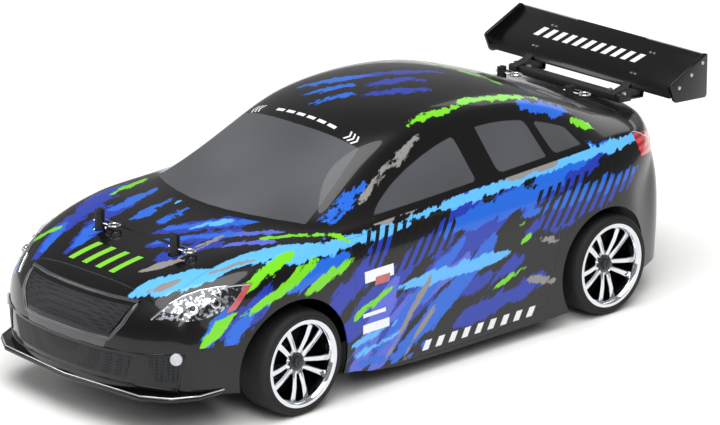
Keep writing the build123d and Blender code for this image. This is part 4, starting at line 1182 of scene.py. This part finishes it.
def build_wheel(end, side):
    """Chromed rim and spokes, dark barrel, nut and slick tyre of one corner."""
    sign = dict(SIDES)[side]
    tag = f"{end}_{side}"
    body = f"wheel_{tag}"
    centre = Vector((0, AXLES[end], AXLE_Z))
    bm = bmesh.new()
    add_lathe(bm, RIM, (0, 0, 0), closed=True)
    spokes = bmesh.new()
    for mirrored in (1, -1):
        outline = [(mirrored * y, z) for y, z in spoke_outline()]
        add_prism(spokes, outline, "x", SPOKE_BACK, SPOKE_FACE, bevel=0.7)
    for v in spokes.verts:
        reach = math.hypot(v.co.y, v.co.z)
        if v.co.x > 88:
            v.co.x -= max(0, HUB_RADIUS - reach) * SPOKE_DISH
    mesh = bpy.data.meshes.new("pair")
    spokes.to_mesh(mesh)
    spokes.free()
    for i in range(SPOKE_PAIRS):
        turned = bmesh.new()
        turned.from_mesh(mesh)
        turned.transform(Matrix.Rotation(math.tau * i / SPOKE_PAIRS, 4, "X"))
        merge(bm, turned)
    bpy.data.meshes.remove(mesh)
    boss = ((0.01, 82), (8.4, 82), (8.4, 87.2), (7.9, 88.2), (6.0, 88.7), (5.4, 88.2), (0.01, 87.2))
    add_lathe(bm, boss, (0, 0, 0))
    place_corner(bm, sign, centre)
    wheel = finished(f"rim_{tag}", bm, "Chromed ABS", body, smooth_deg=32)
    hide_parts(f"wheel_{tag}")
    bm = bmesh.new()
    add_lathe(bm, BARREL, (0, 0, 0), closed=True)
    add_lathe(bm, ((8.0, 74.2), (24.4, 73.2), (24.6, 74.6), (8.0, 75.8)), (0, 0, 0), closed=True)
    place_corner(bm, sign, centre)
    finished(f"barrel_{tag}", bm, "Gloss black ABS", body)
    bm = bmesh.new()
    add_lathe(bm, TYRE, (0, 0, 0), closed=True, steps=128)
    place_corner(bm, sign, centre)
    tyre = finished(f"slick_{tag}", bm, "Tyre rubber", body, smooth_deg=40)
    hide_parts(f"tyre_{tag}")
    bm = bmesh.new()
    nut = bmesh.new()
    bmesh.ops.create_cone(nut, cap_ends=True, segments=6, radius1=4.0, radius2=4.0, depth=3.2)
    bevel_all(nut, 0.5)
    nut.transform(Matrix.Translation((90.0, 0, 0)) @ Matrix.Rotation(math.pi / 2, 4, "Y"))
    merge(bm, nut)
    add_rod(bm, (87.4, 0, 0), (88.9, 0, 0), 5.3, bevel=0.3)
    add_rod(bm, (76, 0, 0), (92.6, 0, 0), 2, bevel=0.4)
    place_corner(bm, sign, centre)
    finished(f"wheel_nut_{tag}", bm, "Damper acetal", body)


def place_corner(bm, sign, centre):
    """Mirror to the right side when sign is -1, then move to the axle."""
    bmesh.ops.scale(bm, vec=(sign, 1, 1), verts=bm.verts)
    bmesh.ops.translate(bm, vec=centre, verts=bm.verts)


# ---- running gear -----------------------------------------------------------

DAMPER_TOP = (36.0, 66.0)
DAMPER_FOOT = (50.0, 22.5)
DAMPER_DY = 13.0
SPRING_RUN = (10.4, 35.8)
SPRING_R = 6.35
SPRING_WIRE_R = 0.5


def build_spring(end, side):
    """Coil spring that closes up between the damper's two seats."""
    sign = dict(SIDES)[side]
    tag = f"{end}_{side}"
    y = AXLES[end] + (-DAMPER_DY if end == "front" else DAMPER_DY)
    top = Vector((sign * DAMPER_TOP[0], y, DAMPER_TOP[1]))
    foot = Vector((sign * DAMPER_FOOT[0], y, DAMPER_FOOT[1]))
    along = (foot - top).normalized()
    across = Vector((0, 1, 0))
    other = along.cross(across)
    start, stop = SPRING_RUN
    turns = bpy.context.scene.touring_car.spring_turns
    steps = int(turns * 28)
    points = []
    for i in range(steps + 1):
        t = i / steps
        level = start + SPRING_WIRE_R + (stop - start - 2 * SPRING_WIRE_R) * min(1, max(0, (t - 0.06) / 0.88))
        a = math.tau * turns * t
        points.append(top + along * level + SPRING_R * (across * math.cos(a) + other * math.sin(a)))
    bm = bmesh.new()
    tube(bm, points, SPRING_WIRE_R, segments=8)
    spring = finished(f"spring_{tag}", bm, "Coated coil spring", None, smooth_deg=80)
    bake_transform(spring)


def build_drive_shafts():
    """Thin steel drive shafts to the wheels, with a cup at each gearbox."""
    for end, side in CORNERS:
        sign = dict(SIDES)[side]
        y = AXLES[end]
        bm = bmesh.new()
        add_rod(bm, (sign * 24.5, y, AXLE_Z), (sign * 56.5, y, AXLE_Z), 1.3, bevel=0.3)
        add_rod(bm, (sign * 25.8, y - 2.6, AXLE_Z), (sign * 25.8, y + 2.6, AXLE_Z), 0.7, segments=16)
        finished(f"drive_shaft_{end}_{side}", bm, "Ground steel", f"arm_{end}_{side}")
    bm = bmesh.new()
    for y in AXLES.values():
        for sign in (-1, 1):
            add_rod(bm, (sign * 15.5, y, AXLE_Z), (sign * 21, y, AXLE_Z), 3.8, bevel=0.4)
    finished("gearbox_outdrives", bm, "Hardened pinion steel", "chassis")


def build_chassis_details():
    """Gearbox lid screws and battery straps."""
    bm = bmesh.new()
    for y in AXLES.values():
        for x in (-11, 11):
            for dy in (-11, 11):
                add_rod(bm, (x, y + dy, 49.4), (x, y + dy, 50.6), 1.8, bevel=0.3)
    finished("gearbox_screws", bm, "Ground steel", "chassis")
    bm = bmesh.new()
    for y in (-30, 55):
        add_prism(bm, ((-59, 12), (-59.2, 30), (-57, 33.1), (-13, 33.1), (-10.8, 30), (-11, 12), (-10.4, 12),
                       (-10.2, 30.2), (-12.6, 33.7), (-57.4, 33.7), (-59.8, 30.2), (-59.6, 12)), "y", y, y + 9)
    finished("battery_straps", bm, "Moulded black nylon", "chassis")


# ---- carried-over CAD parts -------------------------------------------------

CAD_FINISH = {
    "moulded_nylon": "Moulded black nylon", "bumper_foam": "Bumper foam", "ground_steel": "Ground steel",
    "servo_case": "Servo case plastic", "battery_wrap": "Battery shrink wrap", "motor_can": "Plated motor can",
    "controller_case": "Controller case", "gear_nylon": "White gear nylon",
    "pinion_steel": "Hardened pinion steel",
    "clip_wire": "Plated spring wire", "damper_plastic": "Damper acetal", "wheel_chrome": "Chromed ABS",
    "tyre_rubber": "Tyre rubber", "shell_paint": "Painted polycarbonate", "wing_plastic": "Gloss black ABS",
}


def dress_cad_nodes():
    """Give every carried-over node the finish of its record slot."""
    slots = {part["node"]: part["material_slot"] for part in frame["record"]["subparts"]}
    for name, node in frame["nodes"].items():
        node.data.materials.clear()
        node.data.materials.append(bpy.data.materials[CAD_FINISH[slots[name]]])


# ---- stage ------------------------------------------------------------------

CAMERA_AIM = (5.75, 3.0, 74.7)
CAMERA_AZIMUTH = 46.385
CAMERA_ELEVATION = 18.056
CAMERA_DISTANCE = 3000.0
CAMERA_LENS = 245.85
# Name, kind, place in metres, size in metres or degrees, power
STUDIO_LIGHTS = (("overhead", "SUN", (0.3, -0.4, 2.0), 50, 2.6), ("key", "AREA", (1.3, -0.9, 1.3), 0.9, 14),
                 ("fill", "AREA", (-1.4, -1.3, 0.9), 0.8, 8), ("rim", "AREA", (-0.5, 2.1, 1.4), 1.2, 7))


def build_stage():
    """Floor, soft lights and the camera."""
    bm = bmesh.new()
    bmesh.ops.create_grid(bm, x_segments=1, y_segments=1, size=6000)
    floor = finished("floor", bm, "Studio paper", None)
    floor.location.z = -0.0002
    world = bpy.data.worlds.new("Studio")
    world.use_nodes = True
    world.node_tree.nodes["Background"].inputs["Color"].default_value = linear("#ffffff")
    world.node_tree.nodes["Background"].inputs["Strength"].default_value = 0.28
    bpy.context.scene.world = world
    for name, kind, place, size, power in STUDIO_LIGHTS:
        data = bpy.data.lights.new(name, kind)
        data.energy = power
        if kind == "SUN":
            data.angle = math.radians(size)
        else:
            data.size = size
        light = bpy.data.objects.new(name, data)
        light.location = place
        light.rotation_euler = (-Vector(place)).to_track_quat("-Z", "Y").to_euler()
        bpy.context.scene.collection.objects.link(light)
    bpy.context.scene.view_settings.view_transform = "Standard"
    data = bpy.data.cameras.new("camera")
    data.sensor_width = 36
    data.lens = CAMERA_LENS
    data.clip_end = 50
    camera = bpy.data.objects.new("camera", data)
    azimuth, elevation = math.radians(CAMERA_AZIMUTH), math.radians(CAMERA_ELEVATION)
    back = Vector((math.sin(azimuth) * math.cos(elevation), -math.cos(azimuth) * math.cos(elevation),
                   math.sin(elevation)))
    camera.location = (Vector(CAMERA_AIM) + back * CAMERA_DISTANCE) * MM
    camera.rotation_euler = (-back).to_track_quat("-Z", "Y").to_euler()
    bpy.context.scene.collection.objects.link(camera)
    bpy.context.scene.camera = camera


# ---- add-on -----------------------------------------------------------------

class CarSettings(bpy.types.PropertyGroup):
    """Sizes that a user would change"""
    shell_thickness: bpy.props.FloatProperty(
        name="Shell thickness", description="Wall of the vacuum-formed shell",
        default=SHELL_THICKNESS * MM, min=0.0005, max=0.0015, unit="LENGTH")
    spring_turns: bpy.props.FloatProperty(
        name="Spring turns", description="Turns of each coil spring", default=6.5, min=4.0, max=9.0)
    headlight_turn: bpy.props.FloatProperty(name="Headlight turn", description="How far the lamps face outward",
                                            default=math.radians(53.0), subtype="ANGLE")


class CAR_OT_materials(bpy.types.Operator):
    """Make the materials and dress the carried-over parts"""
    bl_idname = "car.materials"
    bl_label = "Materials"

    def execute(self, context):
        make_materials()
        dress_cad_nodes()
        return {"FINISHED"}


class CAR_OT_shell(bpy.types.Operator):
    """Build the painted shell"""
    bl_idname = "car.shell"
    bl_label = "Painted shell"

    def execute(self, context):
        build_body_shell()
        return {"FINISHED"}


class CAR_OT_trim(bpy.types.Operator):
    """Build the lamps, grilles and decals on the shell"""
    bl_idname = "car.trim"
    bl_label = "Shell trim"

    def execute(self, context):
        build_front_face()
        build_hood_trim()
        build_side_trim()
        build_tail()
        return {"FINISHED"}


class CAR_OT_wing(bpy.types.Operator):
    """Build the rear wing and its stands"""
    bl_idname = "car.wing"
    bl_label = "Wing"

    def execute(self, context):
        build_wing()
        build_stands()
        return {"FINISHED"}


class CAR_OT_wheels(bpy.types.Operator):
    """Build the four wheels and tyres"""
    bl_idname = "car.wheels"
    bl_label = "Wheels"

    def execute(self, context):
        for end, side in CORNERS:
            build_wheel(end, side)
        return {"FINISHED"}


class CAR_OT_running_gear(bpy.types.Operator):
    """Build the springs, drive shafts and small chassis parts"""
    bl_idname = "car.running_gear"
    bl_label = "Running gear"

    def execute(self, context):
        for end, side in CORNERS:
            build_spring(end, side)
        build_drive_shafts()
        build_chassis_details()
        return {"FINISHED"}


class CAR_OT_stage(bpy.types.Operator):
    """Build the floor, the lights and the camera"""
    bl_idname = "car.stage"
    bl_label = "Stage"

    def execute(self, context):
        build_stage()
        return {"FINISHED"}


OPERATORS = (CAR_OT_materials, CAR_OT_shell, CAR_OT_trim, CAR_OT_wing, CAR_OT_wheels, CAR_OT_running_gear,
             CAR_OT_stage)


class CAR_PT_panel(bpy.types.Panel):
    """List of the steps in the sidebar"""
    bl_label = "Touring Car"
    bl_idname = "CAR_PT_panel"
    bl_space_type = "VIEW_3D"
    bl_region_type = "UI"
    bl_category = "Touring Car"

    def draw(self, context):
        for operator in OPERATORS:
            self.layout.operator(operator.bl_idname)


CLASSES = (CarSettings,) + OPERATORS + (CAR_PT_panel,)


def register():
    """Register the classes and their settings."""
    for cls in CLASSES:
        bpy.utils.register_class(cls)
    bpy.types.Scene.touring_car = bpy.props.PointerProperty(type=CarSettings)


def unregister():
    """Undo register."""
    del bpy.types.Scene.touring_car
    for cls in reversed(CLASSES):
        bpy.utils.unregister_class(cls)


def main():
    """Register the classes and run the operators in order."""
    register()
    for operator in OPERATORS:
        group, name = operator.bl_idname.split(".")
        getattr(getattr(bpy.ops, group), name)()


if __name__ == "__main__":
    main()
